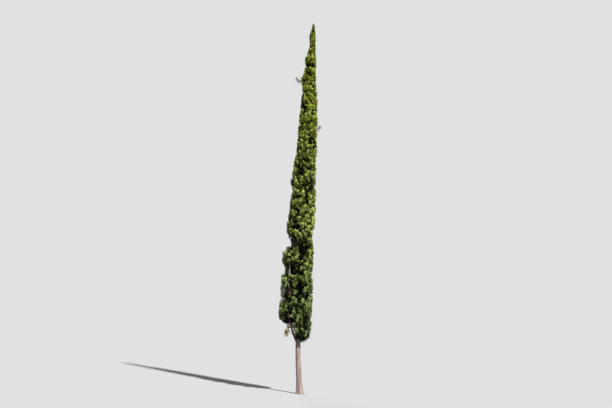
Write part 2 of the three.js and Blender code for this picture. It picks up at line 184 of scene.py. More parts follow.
SIDE_TURNS = {
    "left": LEFT,
    "right": 0.0,
    "front": FRONT,
    "back": -FRONT,
    "front_left": -LEFT + UNIT_TURN,
    "back_left": LEFT - UNIT_TURN,
    "front_right": -UNIT_TURN,
    "back_right": UNIT_TURN,
}
FULL_TIER_SIDES = (("left", "front_right", "back_right"), ("back_left", "front_left", "right"))
SMALL_TIER_SIDES = (("left", "right"), ("front", "back"))
FIRST_SEED = 1000
TURN_SHIFT = 0.13
HEIGHT_SHIFT = 0.11
BOUGH_TIERS = 2


def between(low, high, share):
    """The number that is this share of the way from low to high."""
    return low + (high - low) * share


def make_seeds():
    """One dictionary for each mass, with its name, turn, level, tier and how fully it fills its space."""
    seeds = []
    for tier in range(TIERS):
        sides = FULL_TIER_SIDES if tier < FULL_TIERS else SMALL_TIER_SIDES
        for side in sides[tier % 2]:
            draw = seeded(FIRST_SEED + tier * 10 + len(seeds))
            turn = SIDE_TURNS[side] + between(-TURN_SHIFT, TURN_SHIFT, next(draw))
            height = FIRST_TIER + TIER_PITCH * tier + between(-HEIGHT_SHIFT, HEIGHT_SHIFT, next(draw))
            is_lump = side.endswith("left") and height < LUMP_TOP
            raised = LOW_LEFT_RAISE if tier == 0 and side == "left" else 0.0
            seeds.append({
                "side": f"{tier + 1:02d}_{side}",
                "turn": turn,
                "tier": tier,
                "level": height - RISE * THICKEST + raised,
                "fill": LUMP_FILL if is_lump else 1.0,
                "on_bough": is_lump or tier < BOUGH_TIERS,
            })
    return seeds


seeds = make_seeds()
leader_level = FIRST_TIER + TIER_PITCH * TIERS - RISE * THICKEST
leader_from = (leader_level + max(seed["level"] for seed in seeds)) / 2
print("masses:", len(seeds), "leader from level", round(leader_from, 2))


# %% How far a mass reaches
def space_reach(seed, across, along):
    """Distance from a seed to the edge of its space in each direction (across, along), in units that put
    neighbouring seeds about one apart. The edge is half way to the nearest neighbour that way."""
    reach = np.full(across.shape, LARGEST_REACH if seed["tier"] < FULL_TIERS else LARGEST_PAIR_REACH)
    for other in seeds:
        if other is seed:
            continue
        turn = other["turn"] - seed["turn"]
        x = (turn - TAU * round(turn / TAU)) / UNIT_TURN
        y = (other["level"] - seed["level"]) / TIER_PITCH
        towards = np.maximum(x * across + y * along, TINY)
        reach = np.minimum(reach, (x * x + y * y) / (2 * towards))
    upward = (leader_from - seed["level"]) / TIER_PITCH / np.maximum(along, TINY)
    reach = np.minimum(reach, upward)
    if seed["tier"] == 0:
        reach = np.where(along < 0, np.minimum(reach, LOW_REACH / np.maximum(-along, TINY)), reach)
    return reach * seed["fill"]


# %% [markdown]
# ## Making meshes from arrays
#
# All the shapes here are worked out as whole arrays of points and faces. Blender takes such arrays with
# foreach_set, which is hundreds of times faster than adding vertices one by one. Each face also carries the
# number of its material, so that one joined mesh can hold several tints.


# %% A mesh from arrays
def new_piece(name, points, faces, tints=None, materials=()):
    """Make an object from points (n, 3) and faces (m, k), with the number of each face's material."""
    mesh = bpy.data.meshes.new(name)
    corners = faces.shape[1]
    mesh.vertices.add(len(points))
    mesh.vertices.foreach_set("co", np.ascontiguousarray(points, np.float32).ravel())
    mesh.loops.add(faces.size)
    mesh.loops.foreach_set("vertex_index", np.ascontiguousarray(faces, np.int32).ravel())
    mesh.polygons.add(len(faces))
    mesh.polygons.foreach_set("loop_start", np.arange(0, faces.size, corners, dtype=np.int32))
    for material in materials:
        mesh.materials.append(material)
    if tints is not None:
        mesh.polygons.foreach_set("material_index", np.ascontiguousarray(tints, np.int32))
    mesh.update(calc_edges=True)
    mesh.validate()
    piece = bpy.data.objects.new(name, mesh)
    bpy.context.scene.collection.objects.link(piece)
    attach(piece, "root")
    return piece


def unit(vectors):
    """The same directions at length one."""
    return vectors / np.maximum(np.linalg.norm(vectors, axis=-1, keepdims=True), TINY)


# %% [markdown]
# ## Materials
#
# Bark is built from noise that is stretched along the trunk, because cypress bark peels in long thin
# strips. The strips are pale and pinkish grey where the weather has bleached them, and red-brown in the
# furrows between. How deep a place lies in a furrow is worked out with the shape, and kept on the mesh as an
# attribute, so the colour follows the relief exactly.
#
# The foliage is different: more than a million tiny faces, where a pattern could only blur. Its colours are
# plain greens, one material for each tint, and each spray is dealt one of them. The tints of each green are
# lit and shaded copies, so light and shade are painted into them. What changes inside a material is only the
# fine mottling of scale leaves.


# %% Helpers for materials
def new_material(name, roughness):
    """A material with its shader node, ready for a colour."""
    material = bpy.data.materials.new(name)
    material.use_nodes = True
    shader = material.node_tree.nodes["Principled BSDF"]
    shader.inputs["Roughness"].default_value = roughness
    return material, material.node_tree, shader


def colour_ramp(tree, stops):
    """A ramp node with these (position, colour) stops."""
    ramp = tree.nodes.new("ShaderNodeValToRGB")
    elements = ramp.color_ramp.elements
    elements[0].position, elements[0].color = stops[0][0], (*stops[0][1], 1)
    elements[1].position, elements[1].color = stops[-1][0], (*stops[-1][1], 1)
    for position, colour in stops[1:-1]:
        element = elements.new(position)
        element.color = (*colour, 1)
    return ramp


def stretched_noise(tree, scale, detail):
    """Noise on Object coordinates with its own scale along each axis."""
    coordinates = tree.nodes.new("ShaderNodeTexCoord")
    mapping = tree.nodes.new("ShaderNodeMapping")
    mapping.inputs["Scale"].default_value = scale
    noise = tree.nodes.new("ShaderNodeTexNoise")
    noise.inputs["Scale"].default_value = 1.0
    noise.inputs["Detail"].default_value = detail
    tree.links.new(coordinates.outputs["Object"], mapping.inputs["Vector"])
    tree.links.new(mapping.outputs["Vector"], noise.inputs["Vector"])
    return noise


# %% Bark
FIBRE_SCALE = (150, 150, 11)
BLOTCH_SCALE = (5, 5, 1.6)
FIBRES_IN_COLOUR = 0.45
BARK_ROUGHNESS = 0.92
STRIP_COLOURS = [
    (0.15, (0.022, 0.017, 0.015)),
    (0.5, (0.085, 0.068, 0.062)),
    (0.85, (0.165, 0.136, 0.127)),
    (1.0, (0.25, 0.208, 0.196)),
]
STAIN_COLOURS = [(0.35, (0.72, 0.66, 0.62)), (0.65, (1.0, 0.98, 0.96))]
FIBRE_DEPTH = 0.004


def make_bark():
    """Bark: the colour goes from furrow brown to bleached strip by the furrow attribute plus a share of the
    fibres, a noise that is over ten times longer upwards than round the trunk. Broad stains darken it."""
    material, tree, shader = new_material("bark", BARK_ROUGHNESS)
    shader.inputs["Specular IOR Level"].default_value = 0.2
    furrow = tree.nodes.new("ShaderNodeAttribute")
    furrow.attribute_name = "furrow"
    fibres = stretched_noise(tree, FIBRE_SCALE, 6.0)
    blotches = stretched_noise(tree, BLOTCH_SCALE, 3.0)
    mix = tree.nodes.new("ShaderNodeMath")
    mix.operation = "MULTIPLY_ADD"
    mix.inputs[1].default_value = FIBRES_IN_COLOUR
    tree.links.new(fibres.outputs["Fac"], mix.inputs[0])
    tree.links.new(furrow.outputs["Fac"], mix.inputs[2])
    strips = colour_ramp(tree, STRIP_COLOURS)
    tree.links.new(mix.outputs["Value"], strips.inputs["Fac"])
    tone = colour_ramp(tree, STAIN_COLOURS)
    tree.links.new(blotches.outputs["Fac"], tone.inputs["Fac"])
    stain = tree.nodes.new("ShaderNodeMix")
    stain.data_type = "RGBA"
    stain.blend_type = "MULTIPLY"
    stain.inputs["Factor"].default_value = 1.0
    tree.links.new(strips.outputs["Color"], stain.inputs["A"])
    tree.links.new(tone.outputs["Color"], stain.inputs["B"])
    tree.links.new(stain.outputs["Result"], shader.inputs["Base Color"])
    bump = tree.nodes.new("ShaderNodeBump")
    bump.inputs["Strength"].default_value = 0.8
    bump.inputs["Distance"].default_value = FIBRE_DEPTH
    tree.links.new(fibres.outputs["Fac"], bump.inputs["Height"])
    tree.links.new(bump.outputs["Normal"], shader.inputs["Normal"])
    return material


bark = make_bark()
print("nodes in the bark's material:", len(bark.node_tree.nodes))


# %% Foliage tints
LEAF_ROUGHNESS = 0.62
MOTTLING_SCALE = (55, 55, 55)
MOTTLED_LIGHT = 1.14
MOTTLED_DARK = 0.84


def make_tint(name, colour):
    """One green: its base colour, mottled about a seventh lighter and darker by fine noise."""
    material, tree, shader = new_material(name, LEAF_ROUGHNESS)
    shader.inputs["Specular IOR Level"].default_value = 0.08
    mottling = stretched_noise(tree, MOTTLING_SCALE, 2.0)
    light = tuple(MOTTLED_LIGHT * part for part in colour)
    dark = tuple(MOTTLED_DARK * part for part in colour)
    ramp = colour_ramp(tree, [(0.3, dark), (0.7, light)])
    tree.links.new(mottling.outputs["Fac"], ramp.inputs["Fac"])
    tree.links.new(ramp.outputs["Color"], shader.inputs["Base Color"])
    return material


# Each zone of the crown has four shades, from the shaded inside to the sunlit tips of sprays, painted into
# the greens. The greens of the low zone are darker than those above.
ZONE_SHADES = {
    "top": ((0.009, 0.013, 0.002), (0.062, 0.08, 0.007), (0.178, 0.22, 0.018), (0.34, 0.4, 0.06)),
    "middle": ((0.005, 0.008, 0.002), (0.052, 0.073, 0.013), (0.175, 0.23, 0.043), (0.37, 0.46, 0.12)),
    "low": ((0.003, 0.005, 0.002), (0.03, 0.047, 0.011), (0.1, 0.145, 0.036), (0.26, 0.345, 0.115)),
}
ODD_TINTS = {
    "rusty": (0.13, 0.082, 0.025),
    "dry_pale": (0.3, 0.28, 0.17),
    "dry_brown": (0.17, 0.14, 0.08),
}
SHADES = 4
tint_names = [f"{zone}_{shade}" for zone in ZONE_SHADES for shade in range(SHADES)] + list(ODD_TINTS)
tint_colours = [colour for zone in ZONE_SHADES.values() for colour in zone] + list(ODD_TINTS.values())
tint_materials = [make_tint(f"leaf_{name}", colour) for name, colour in zip(tint_names, tint_colours)]
RUSTY = tint_names.index("rusty")
DRY_PALE = tint_names.index("dry_pale")
DRY_BROWN = tint_names.index("dry_brown")
print("foliage tints:", len(tint_materials))

# %% [markdown]
# ## The trunk
#
# The real trunk is bare for about two metres and then runs up inside the crown. Its bark has shallow
# furrows that climb almost straight up with a slight twist. The trunk is a grid: one way goes round it, the
# other goes up it, and the radius at each grid point is the smooth trunk's radius plus the relief. The rows
# stand close together where the trunk is bare and far apart where foliage hides it.


# %% Relief from soft noise
def soft_noise(round_turns, up, cells, cell_height, seed):
    """Noise between 0 and 1 on a surface that closes on itself: random numbers on a lattice with a whole
    number of cells round the limb, blended with the smooth step 3t^2 - 2t^3 between lattice points."""
    rows = int(np.ceil(up.max() / cell_height)) + 3
    lattice = np.random.default_rng(seed).random((rows, cells))
    x = (round_turns / TAU % 1) * cells
    y = up / cell_height
    column, row = np.floor(x).astype(int) % cells, np.floor(y).astype(int)
    part_x, part_y = x - np.floor(x), y - np.floor(y)
    blend_x = part_x * part_x * (3 - 2 * part_x)
    blend_y = part_y * part_y * (3 - 2 * part_y)
    across = (column + 1) % cells
    low = lattice[row, column] * (1 - blend_x) + lattice[row, across] * blend_x
    high = lattice[row + 1, column] * (1 - blend_x) + lattice[row + 1, across] * blend_x
    return low * (1 - blend_y) + high * blend_y


TWIST = 0.5
FURROW_FROM = 0.66
FURROW_WIDTH = 0.34
FURROW_SLOPE = 1.6
STRIP_DRIFT = 1.6
STRIP_WOBBLE = 0.5
OPENING = 2.2
OPENING_FROM = 0.5
RELIEF_TOP = 1.08
BROAD_PART = 0.8
NARROW_PART = 0.42
FIBRE_PART = 0.24


def furrows(turn, up, strips, length, seed):
    """Furrows between upright strips: 0 on a strip and 1 in a furrow. The strips are even parts of the turn
    that a noise makes drift, so that they wander but still close on themselves. A furrow lies where such a
    strip ends, and another noise opens and closes it on its way up."""
    bends = STRIP_DRIFT * soft_noise(turn, up, 4, length, seed)
    wobble = STRIP_WOBBLE * soft_noise(turn, up, 2 * strips, length / 4, seed + 1)
    in_strip = (strips * turn / TAU + (bends + wobble) + TWIST * up) % 1
    edge = np.clip((np.abs(2 * in_strip - 1) - FURROW_FROM) / FURROW_WIDTH, 0, 1)
    opening = OPENING * soft_noise(turn, up, strips, length / 1.5, seed + 2) - OPENING_FROM
    return edge**FURROW_SLOPE * np.clip(opening, 0, 1)


def bark_relief(turn, up, strips, length, seed):
    """Height of the bark from 0 in a furrow to 1 on a strip: broad furrows, finer ones three to a strip, and
    fibres."""
    broad = furrows(turn, up, strips, length, seed)
    fine = furrows(turn, up, 3 * strips, length / 2, seed + 10)
    fibres = soft_noise(turn, up, 8 * strips, length / 6, seed + 20)
    return np.clip(RELIEF_TOP - BROAD_PART * broad - NARROW_PART * fine - FIBRE_PART * fibres, 0, 1)


# %% Build the trunk
TRUNK_COLUMNS = 240
BARE_TOP = 3.0
BARE_STEP = 0.014
HIDDEN_STEP = 0.12
RELIEF_DEPTH = 0.0095
MEAN_RELIEF = 0.8
BARK_STRIPS = 13
STRIP_LENGTH = 0.6
LOBE_TURN = 0.6
LOBE_FADE = 1.6
CUT_FURROW = 0.4


def grid_faces(rows, columns):
    """Four-cornered faces of a grid whose columns close on themselves, wound so that they face outwards."""
    row, column = np.meshgrid(np.arange(rows - 1), np.arange(columns), indexing="ij")
    after = (column + 1) % columns
    low = row * columns
    high = low + columns
    corners = [low + column, low + after, high + after, high + column]
    return np.stack([corner.ravel() for corner in corners], axis=1)


def mark_furrows(piece, values):
    """Keep how far each point stands out of the furrows, which the bark's colour reads."""
    furrow = piece.data.attributes.new("furrow", "FLOAT", "POINT")
    furrow.data.foreach_set("value", np.ascontiguousarray(values, np.float32))


def build_trunk():
    """The trunk's grid: its middle line plus radius times (cos turn, sin turn), closed by a flat cut at its
    foot and a point at the tip. The root lobes are a cosine of the turn that dies away upwards."""
    bare = np.arange(0, BARE_TOP, BARE_STEP)
    hidden = np.linspace(BARE_TOP, TRUNK_TOP, int((TRUNK_TOP - BARE_TOP) / HIDDEN_STEP))
    around = np.arange(TRUNK_COLUMNS)
    z, turn = np.meshgrid(np.concatenate([bare, hidden]), TAU * around / TRUNK_COLUMNS, indexing="ij")
    height = bark_relief(turn, z, BARK_STRIPS, STRIP_LENGTH, seed=5)
    depth = RELIEF_DEPTH * np.clip(trunk_radius(z) / BREAST_RADIUS, 0.1, 1.3)
    lobes = LOBE_SHARE * np.cos(ROOT_LOBES * turn + LOBE_TURN) * np.exp(-z / (FLARE_HEIGHT * LOBE_FADE))
    radius = trunk_radius(z) * (1 + lobes) + depth * (height - MEAN_RELIEF)
    centre = trunk_centre(z)
    points = centre + np.stack([radius * np.cos(turn), radius * np.sin(turn), np.zeros_like(z)], axis=-1)
    rows = z.shape[0]
    faces = grid_faces(rows, TRUNK_COLUMNS)
    triangles = np.concatenate([faces[:, [0, 1, 2]], faces[:, [0, 2, 3]]])
    points = np.concatenate([points.reshape(-1, 3), trunk_centre([0.0, TRUNK_TOP])])
    after = (around + 1) % TRUNK_COLUMNS
    bottom = np.stack([after, around, np.full_like(around, len(points) - 2)], axis=1)
    last = (rows - 1) * TRUNK_COLUMNS
    top = np.stack([last + around, last + after, np.full_like(around, len(points) - 1)], axis=1)
    piece = new_piece("trunk_bark", points, np.concatenate([triangles, bottom, top]), materials=[bark])
    mark_furrows(piece, np.append(height.ravel(), [CUT_FURROW, CUT_FURROW]))
    return piece


trunk_bark = build_trunk()
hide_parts("trunk")
print("trunk triangles:", len(trunk_bark.data.polygons))

# %% [markdown]
# ## Limbs and twigs
#
# Every limb is a tube along a curve with three guide points: it leaves its parent on a slant and bends
# upwards. Many tubes can be made in one go, because a tube is only a table of points: so many tubes, so
# many rings along each, and so many corners round each ring. Blender's own curves could draw them as well,
# but arrays keep the relief of the bark on every ring.
#
# Each mass has its limb. Two more stand free at the front on the left, where the photograph shows them. A
# pale one goes up through two lumps, and a dark one leans from the trunk into the lowest lump. Their paleness
# and darkness are painted into the bark: painted light on the upright one and painted shade on the low one.

# %% Tubes along curves
# A direction that no limb runs along, from which each ring of corners starts
TUBE_SIDE = (0.31, 0.95, 0.05)


def tubes(start, middle, end, root_radius, tip_radius, rings, sides, relief=None):
    """Points and triangles of n tubes. Each follows the curve (1-t)^2 start + 2t(1-t) middle + t^2 end,
    and its radius goes straight from root to tip, times one plus the relief where there is any. Both ends
    close in a point on the curve."""
    count = len(start)
    t = np.linspace(0, 1, rings)[None, :, None]
    line = (1 - t) ** 2 * start[:, None] + 2 * t * (1 - t) * middle[:, None] + t**2 * end[:, None]
    ahead = unit(np.gradient(line, axis=1))
    right = unit(np.cross(ahead, np.array(TUBE_SIDE)))
    over = np.cross(right, ahead)
    radius = (root_radius[:, None, None] * (1 - t) + tip_radius[:, None, None] * t)[:, :, None]
    if relief is not None:
        radius = radius * (1 + relief[..., None])
    turn = (TAU * np.arange(sides) / sides)[:, None]
    ring = line[:, :, None] + radius * (np.cos(turn) * right[:, :, None] + np.sin(turn) * over[:, :, None])
    ends = np.stack([line[:, 0], line[:, -1]], axis=1)
    points = np.concatenate([ring.reshape(count, -1, 3), ends], axis=1)
    quads = grid_faces(rings, sides)[:, ::-1]
    around = np.arange(sides)
    after = (around + 1) % sides
    last = (rings - 1) * sides
    root_cap = np.stack([around, after, np.full(sides, rings * sides)], axis=1)
    tip_cap = np.stack([last + after, last + around, np.full(sides, rings * sides + 1)], axis=1)
    one = np.concatenate([quads[:, [0, 1, 2]], quads[:, [0, 2, 3]], root_cap, tip_cap])
    faces = one[None] + (np.arange(count) * points.shape[1])[:, None, None]
    return points.reshape(-1, 3), faces.reshape(-1, 3), line


def joined(parts):
    """Several (points, faces) pairs as one pair, with the faces renumbered."""
    points, faces, first = [], [], 0
    for part_points, part_faces in parts:
        points.append(part_points)
        faces.append(part_faces + first)
        first += len(part_points)
    return np.concatenate(points), np.concatenate(faces)


# %% The limbs
BOUGH_ROOT_SHARE = 0.3
BOUGH_EXTRA = 0.004
BOUGH_TAPER = 0.2
BOUGH_FROM_SHARE = 0.02
BOUGH_TIP_SHARE = 0.74
BOUGH_RINGS = 70
BOUGH_SIDES = 16
BOUGH_RELIEF = 0.16
BOUGH_STRIPS = 3
BOUGH_STRIP_LENGTH = 0.3
UPRIGHT_LIMB = ((-0.51, -0.28, 3.6), (-0.85, -0.25, 4.5), (-0.64, -0.28, 5.75))
LOW_LIMB = ((-0.2, 0.0, 1.98), (-0.47, -0.14, 2.4), (-0.66, -0.26, 3.2))
FREE_LIMBS = np.array([UPRIGHT_LIMB, LOW_LIMB])
FREE_RADII = (0.042, 0.05)
FREE_TAPERS = (0.55, 0.6)
# The boughs' bark is darkened a little by this factor, a painted shade
BOUGH_PAINTED_SHADE = 0.85
# The upright free limb's bark is lightened, a painted light, and the low one's is darkened, a painted shade
FREE_LIMB_PAINTED_LIGHT_AND_SHADE = (1.3, 0.6)


def build_boughs():
    """One tube for each mass, from inside the trunk along the mass's level, and the two free limbs. The
    relief is the trunk's kind of bark, wrapped round the limb, and each limb reads another stretch of it."""
    turn = np.array([seed["turn"] for seed in seeds])
    level = np.array([seed["level"] for seed in seeds])
    start = place_at_level(turn, np.full(len(seeds), BOUGH_FROM_SHARE), level)
    end = place_at_level(turn, np.full(len(seeds), BOUGH_TIP_SHARE), level)
    middle = (start + end) / 2
    root = trunk_radius(start[:, 2]) * BOUGH_ROOT_SHARE + BOUGH_EXTRA
    start = np.concatenate([start, FREE_LIMBS[:, 0]])
    middle = np.concatenate([middle, FREE_LIMBS[:, 1]])
    end = np.concatenate([end, FREE_LIMBS[:, 2]])
    root = np.append(root, FREE_RADII)
    count = len(root)
    round_limb = TAU * np.arange(BOUGH_SIDES) / BOUGH_SIDES + np.zeros((count, BOUGH_RINGS, 1))
    along = np.linspace(0, 1, BOUGH_RINGS)[:, None] + np.arange(count)[:, None, None] + 0 * round_limb
    height = bark_relief(round_limb, along, BOUGH_STRIPS, BOUGH_STRIP_LENGTH, seed=40)
    tip = root * np.append(np.full(len(seeds), BOUGH_TAPER), FREE_TAPERS)
    relief = BOUGH_RELIEF * (height - MEAN_RELIEF)
    points, faces, _ = tubes(start, middle, end, root, tip, BOUGH_RINGS, BOUGH_SIDES, relief)
    piece = new_piece("boughs_bark", points, faces, materials=[bark])
    # Furrow values times each limb's tone: painted shade on the boughs and the low free limb, painted light
    # on the upright one
    rings = height.reshape(count, -1) * np.append(np.full(len(seeds), BOUGH_PAINTED_SHADE), FREE_LIMB_PAINTED_LIGHT_AND_SHADE)[:, None]
    mark_furrows(piece, np.concatenate([rings, rings[:, :2]], axis=1).ravel())
    return piece


boughs_bark = build_boughs()
bough_nodes = [f"bough_{seed['side']}" for seed in seeds if seed["on_bough"]]
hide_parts(*bough_nodes)
print("limbs:", len(seeds) + len(FREE_LIMBS), "triangles:", len(boughs_bark.data.polygons))

# %% [markdown]
# ## Crests and hollows
#
# Seen from a few steps away, the foliage of a cypress gathers in upright clumps as long as a forearm, with
# dark hollows between them. A slow noise over the whole crown decides how far each place stands out. That
# makes the sunlit crests, the hollows and the steps in the outline. Noise alone would put them anywhere, so
# the few that the photograph shows are added to it one by one: bumps that fill the outline, and lumps one
# above the other on the left.

# %% How far the crown stands out
LUMP_CELLS = 7
LUMP_HEIGHT = 0.72
LUMP_SEED = 71
COARSE_PART = 0.66
FINE_PART = 0.34
LUMP_STRETCH = 1.5
LUMP_FROM = 0.25
RIGHT_FILL = 0.4
RIGHT_FILL_TO = 11.8
RIGHT_FILL_ENDS = 12.8
LEFT_CRESTS = (3.42, 4.45, 5.45, 6.95, 12.3, 13.0, 13.95, 14.95, 15.5)
BANDS_END = 6.5
BANDS_START_AGAIN = 12.75
BAND_DEPTH = 0.5
# Each bump: turn and height of its middle, half its width in turn and in height, and how much it adds
FILLS = (
    (LEFT, 3.95, 0.7, 0.3, 0.35),
    (FRONT, 4.15, 0.6, 0.5, 0.5),
    (LEFT, 7.05, 0.9, 0.75, 0.45),
    (-2.3, 11.95, 0.6, 0.35, 0.4),
    (LEFT, 13.5, 0.9, 0.24, 0.6),
    (LEFT, 14.4, 0.9, 0.25, 0.4),
    (FRONT, 13.7, 1.0, 0.3, 0.5),
    (-1.0, 4.9, 0.6, 1.3, 0.55),
)


def turn_from(turn, middle):
    """The turn from a middle one, between minus half a turn and half a turn."""
    return (turn - middle + math.pi) % TAU - math.pi


def crown_lumps(turn, z):
    """How far the crown stands out at a place, from 0 in a hollow to 1 on a crest: one coarse lattice noise
    and one of half its cell, stretched to use the whole span. The right side is filled up to an even edge.
    On the left, low down and at the top, a wave up the tree adds lumps one above the other. It is the
    cosine of a phase that gains one turn from each crest to the next."""
    turn, z = np.broadcast_arrays(turn, z)
    coarse = soft_noise(turn, z, LUMP_CELLS, LUMP_HEIGHT, LUMP_SEED)
    fine = soft_noise(turn, z, 2 * LUMP_CELLS, LUMP_HEIGHT / 2, LUMP_SEED + 1)
    noise = LUMP_STRETCH * (COARSE_PART * coarse + FINE_PART * fine) - LUMP_FROM
    for middle_turn, height, half_turn, half_height, amount in FILLS:
        aside = turn_from(turn, middle_turn)
        noise = noise + amount * np.exp(-((aside / half_turn) ** 2) - ((z - height) / half_height) ** 2)
    on_right = np.maximum(np.cos(turn), 0) ** 2 * np.interp(z, (RIGHT_FILL_TO, RIGHT_FILL_ENDS), (1, 0))
    on_left = np.maximum(-np.cos(turn), 0) * ((z < BANDS_END) | (z > BANDS_START_AGAIN))
    bands = np.cos(TAU * np.interp(z, LEFT_CRESTS, np.arange(len(LEFT_CRESTS))))
    return np.clip(noise + RIGHT_FILL * on_right + BAND_DEPTH * bands * on_left, 0, 1)


turns = np.linspace(0, TAU, 60)[:, None]
levels = np.linspace(CROWN_FOOT, TREE_HEIGHT, 200)
print("share of the crown that is crest:", round(float((crown_lumps(turns, levels) > 0.5).mean()), 2))

# %% [markdown]
# ## The outline
#
# A real cypress is kept narrow by its own growth, and its tips end at one surface. Here every tip that would
# pass that surface is pulled back to it. The surface is the crown's smooth radius, times how far the crown
# stands out, with a little more on the left and a little less on the right at the heights where the
# photograph shows it. Pulling points back keeps their number and their look, where cutting would leave
# blunt ends.

# %% Keep the tips within the outline
HOLLOW_REACH = 0.74
CREST_REACH = 1.03
UPPER_HOLLOW_REACH = 0.58
UPPER_LUMPS_FROM = 12.5
UPPER_LUMPS_FULL = 13.2
LEFT_GAIN_HEIGHTS = (2.9, 3.2, 5.8, 6.1, 12.6, 12.8, 13.12, 13.3, 13.55, 14.0, 14.4, 14.65)
LEFT_GAINS = (0.0, 0.13, 0.13, 0.0, 0.0, 0.4, 0.4, 0.2, 0.28, 0.35, 0.3, 0.0)
RIGHT_LOSS_HEIGHTS = (3.6, 4.9, 7.0, 8.0)
RIGHT_LOSSES = (0.0, 0.1, 0.09, 0.0)
KNOB_HEIGHT = 14.95
KNOB_HALF = 0.26
KNOB_GAIN = 0.5
BOX_MARGIN = 0.015
TIP_MARGIN = 0.004


def room_in_box(apart, centre, axis):
    """How many times a level way from the trunk fits before it meets a side of the box round the solids."""
    step = apart[..., axis]
    side = np.where(step < 0, cad_box[0][axis] + BOX_MARGIN, cad_box[1][axis] - BOX_MARGIN)
    return (side - centre[..., axis]) / np.where(step < 0, np.minimum(step, -TINY), np.maximum(step, TINY))


def pulled_in(point, share):
    """The point, or where it lies outside this share of the lumpy outline, the nearest one on that limit at
    the same height. The outline is the crown's radius times hollow + (crest - hollow) * lumps, wider at the
    knob below the tip and on the left, and narrower on the right."""
    z = np.minimum(point[..., 2], TREE_HEIGHT - TIP_MARGIN)
    centre = trunk_centre(z)
    apart = point - centre
    turn = np.arctan2(apart[..., 1], apart[..., 0])
    reach = np.hypot(apart[..., 0], apart[..., 1])
    hollow = np.interp(z, (UPPER_LUMPS_FROM, UPPER_LUMPS_FULL), (HOLLOW_REACH, UPPER_HOLLOW_REACH))
    knob = 1 + KNOB_GAIN * np.exp(-(((z - KNOB_HEIGHT) / KNOB_HALF) ** 2))
    on_left = np.maximum(-np.cos(turn), 0)
    on_right = np.maximum(np.cos(turn), 0)
    outline = crown_radius(turn, z) * knob * between(hollow, CREST_REACH, crown_lumps(turn, z))
    outline = outline * (1 + on_left * np.interp(z, LEFT_GAIN_HEIGHTS, LEFT_GAINS))
    outline = outline * (1 - on_right * np.interp(z, RIGHT_LOSS_HEIGHTS, RIGHT_LOSSES))
    room = np.minimum(room_in_box(apart, centre, 0), room_in_box(apart, centre, 1))
    kept = np.minimum(1, np.minimum(share * outline / np.maximum(reach, TINY), room))
    x = centre[..., 0] + apart[..., 0] * kept
    y = centre[..., 1] + apart[..., 1] * kept
    return np.stack([x, y, z], axis=-1)


far_left = pulled_in(np.array([-5.0, 0.0, 8.0]), 1.0)
print("left edge of the outline at 8 m:", round(float(far_left[0]), 2))

# %% [markdown]
# ## Gaps and windows
#
# On its lower left this tree isn't closed. Two gaps go right in to the trunk, one under the crown and one
# between two lumps. Three windows open only at the front: in two of them the upright limb shows, pale with
# painted light, and the third is a dark hollow. Nothing has to be cut for them, because foliage is simply not
# grown there.

# %% Where nothing grows
UNDER_GAP_TURN = 1.25
UNDER_GAP_TOP = 2.85
SIDE_GAP_TURN = 0.5
SIDE_GAP_HEIGHT = 6.05
SIDE_GAP_HALF = 0.26
# Each window: x and z of its middle, half its width and half its height
WINDOWS = ((-0.66, 4.02, 0.165, 0.42), (-0.58, 5.0, 0.25, 0.28), (-0.78, 6.1, 0.34, 0.27))
WINDOW_BACK = -0.12


def in_window(point):
    """Whether a place lies in front of the windows' back, in the ellipse ((x - middle) / half width)^2 +
    ((z - middle) / half height)^2 < 1 of one of them."""
    inside = [
        (((point[..., 0] - x) / half_width) ** 2 + ((point[..., 2] - z) / half_height) ** 2) < 1
        for x, z, half_width, half_height in WINDOWS
    ]
    return np.any(inside, axis=0) & (point[..., 1] < WINDOW_BACK)


def in_gap(turn, z):
    """Whether a turn and height lie in one of the two gaps on the left."""
    aside = np.abs(turn_from(turn, LEFT))
    under = (aside < UNDER_GAP_TURN) & (z < UNDER_GAP_TOP)
    between_lumps = (aside < SIDE_GAP_TURN) & (np.abs(z - SIDE_GAP_HEIGHT) < SIDE_GAP_HALF)
    return under | between_lumps


print("windows at the front:", len(WINDOWS))

# %% [markdown]
# ## From limb to clump
#
# Each clump of foliage grows on one stem, which forks from the limb of its mass. The stems are spread over
# the mass's space by the golden angle, as seeds in a flower head are, which gives an even but unplanned look.
# Scattering them by chance alone would leave bald spots. The upright limb has clumps of its own in the
# lumps that it goes through, and a few more clumps lean out from the trunk where the outline has a step.

# %% Place the clumps
CLUMPS_FULL = 23
CLUMPS_SMALL = 18
CLUMP_LENGTH_LOW = 0.3
CLUMP_LENGTH_HIGH = 0.19
CLUMP_RISE = 0.85
CLUMP_LIMIT = 0.96
SPREAD = 0.95
SPREAD_IN_LUMP = 0.74
SPIN_SHIFT = 0.4
REACH_SHIFTS = (0.92, 1.06)
LENGTH_SHIFTS = (0.85, 1.15)
GAP_PART = 0.4
FOOT_ROOM = 0.05
TIP_TURN_SHIFT = 0.12
NOISE_PART = 0.55
CHANCE_PART = 0.45
ROOT_SHARES = (0.3, 0.66)
TIP_SHARES = (0.5, 1.08)
FORK_SHARES = (0.22, 0.42)
rng = np.random.default_rng(2024)


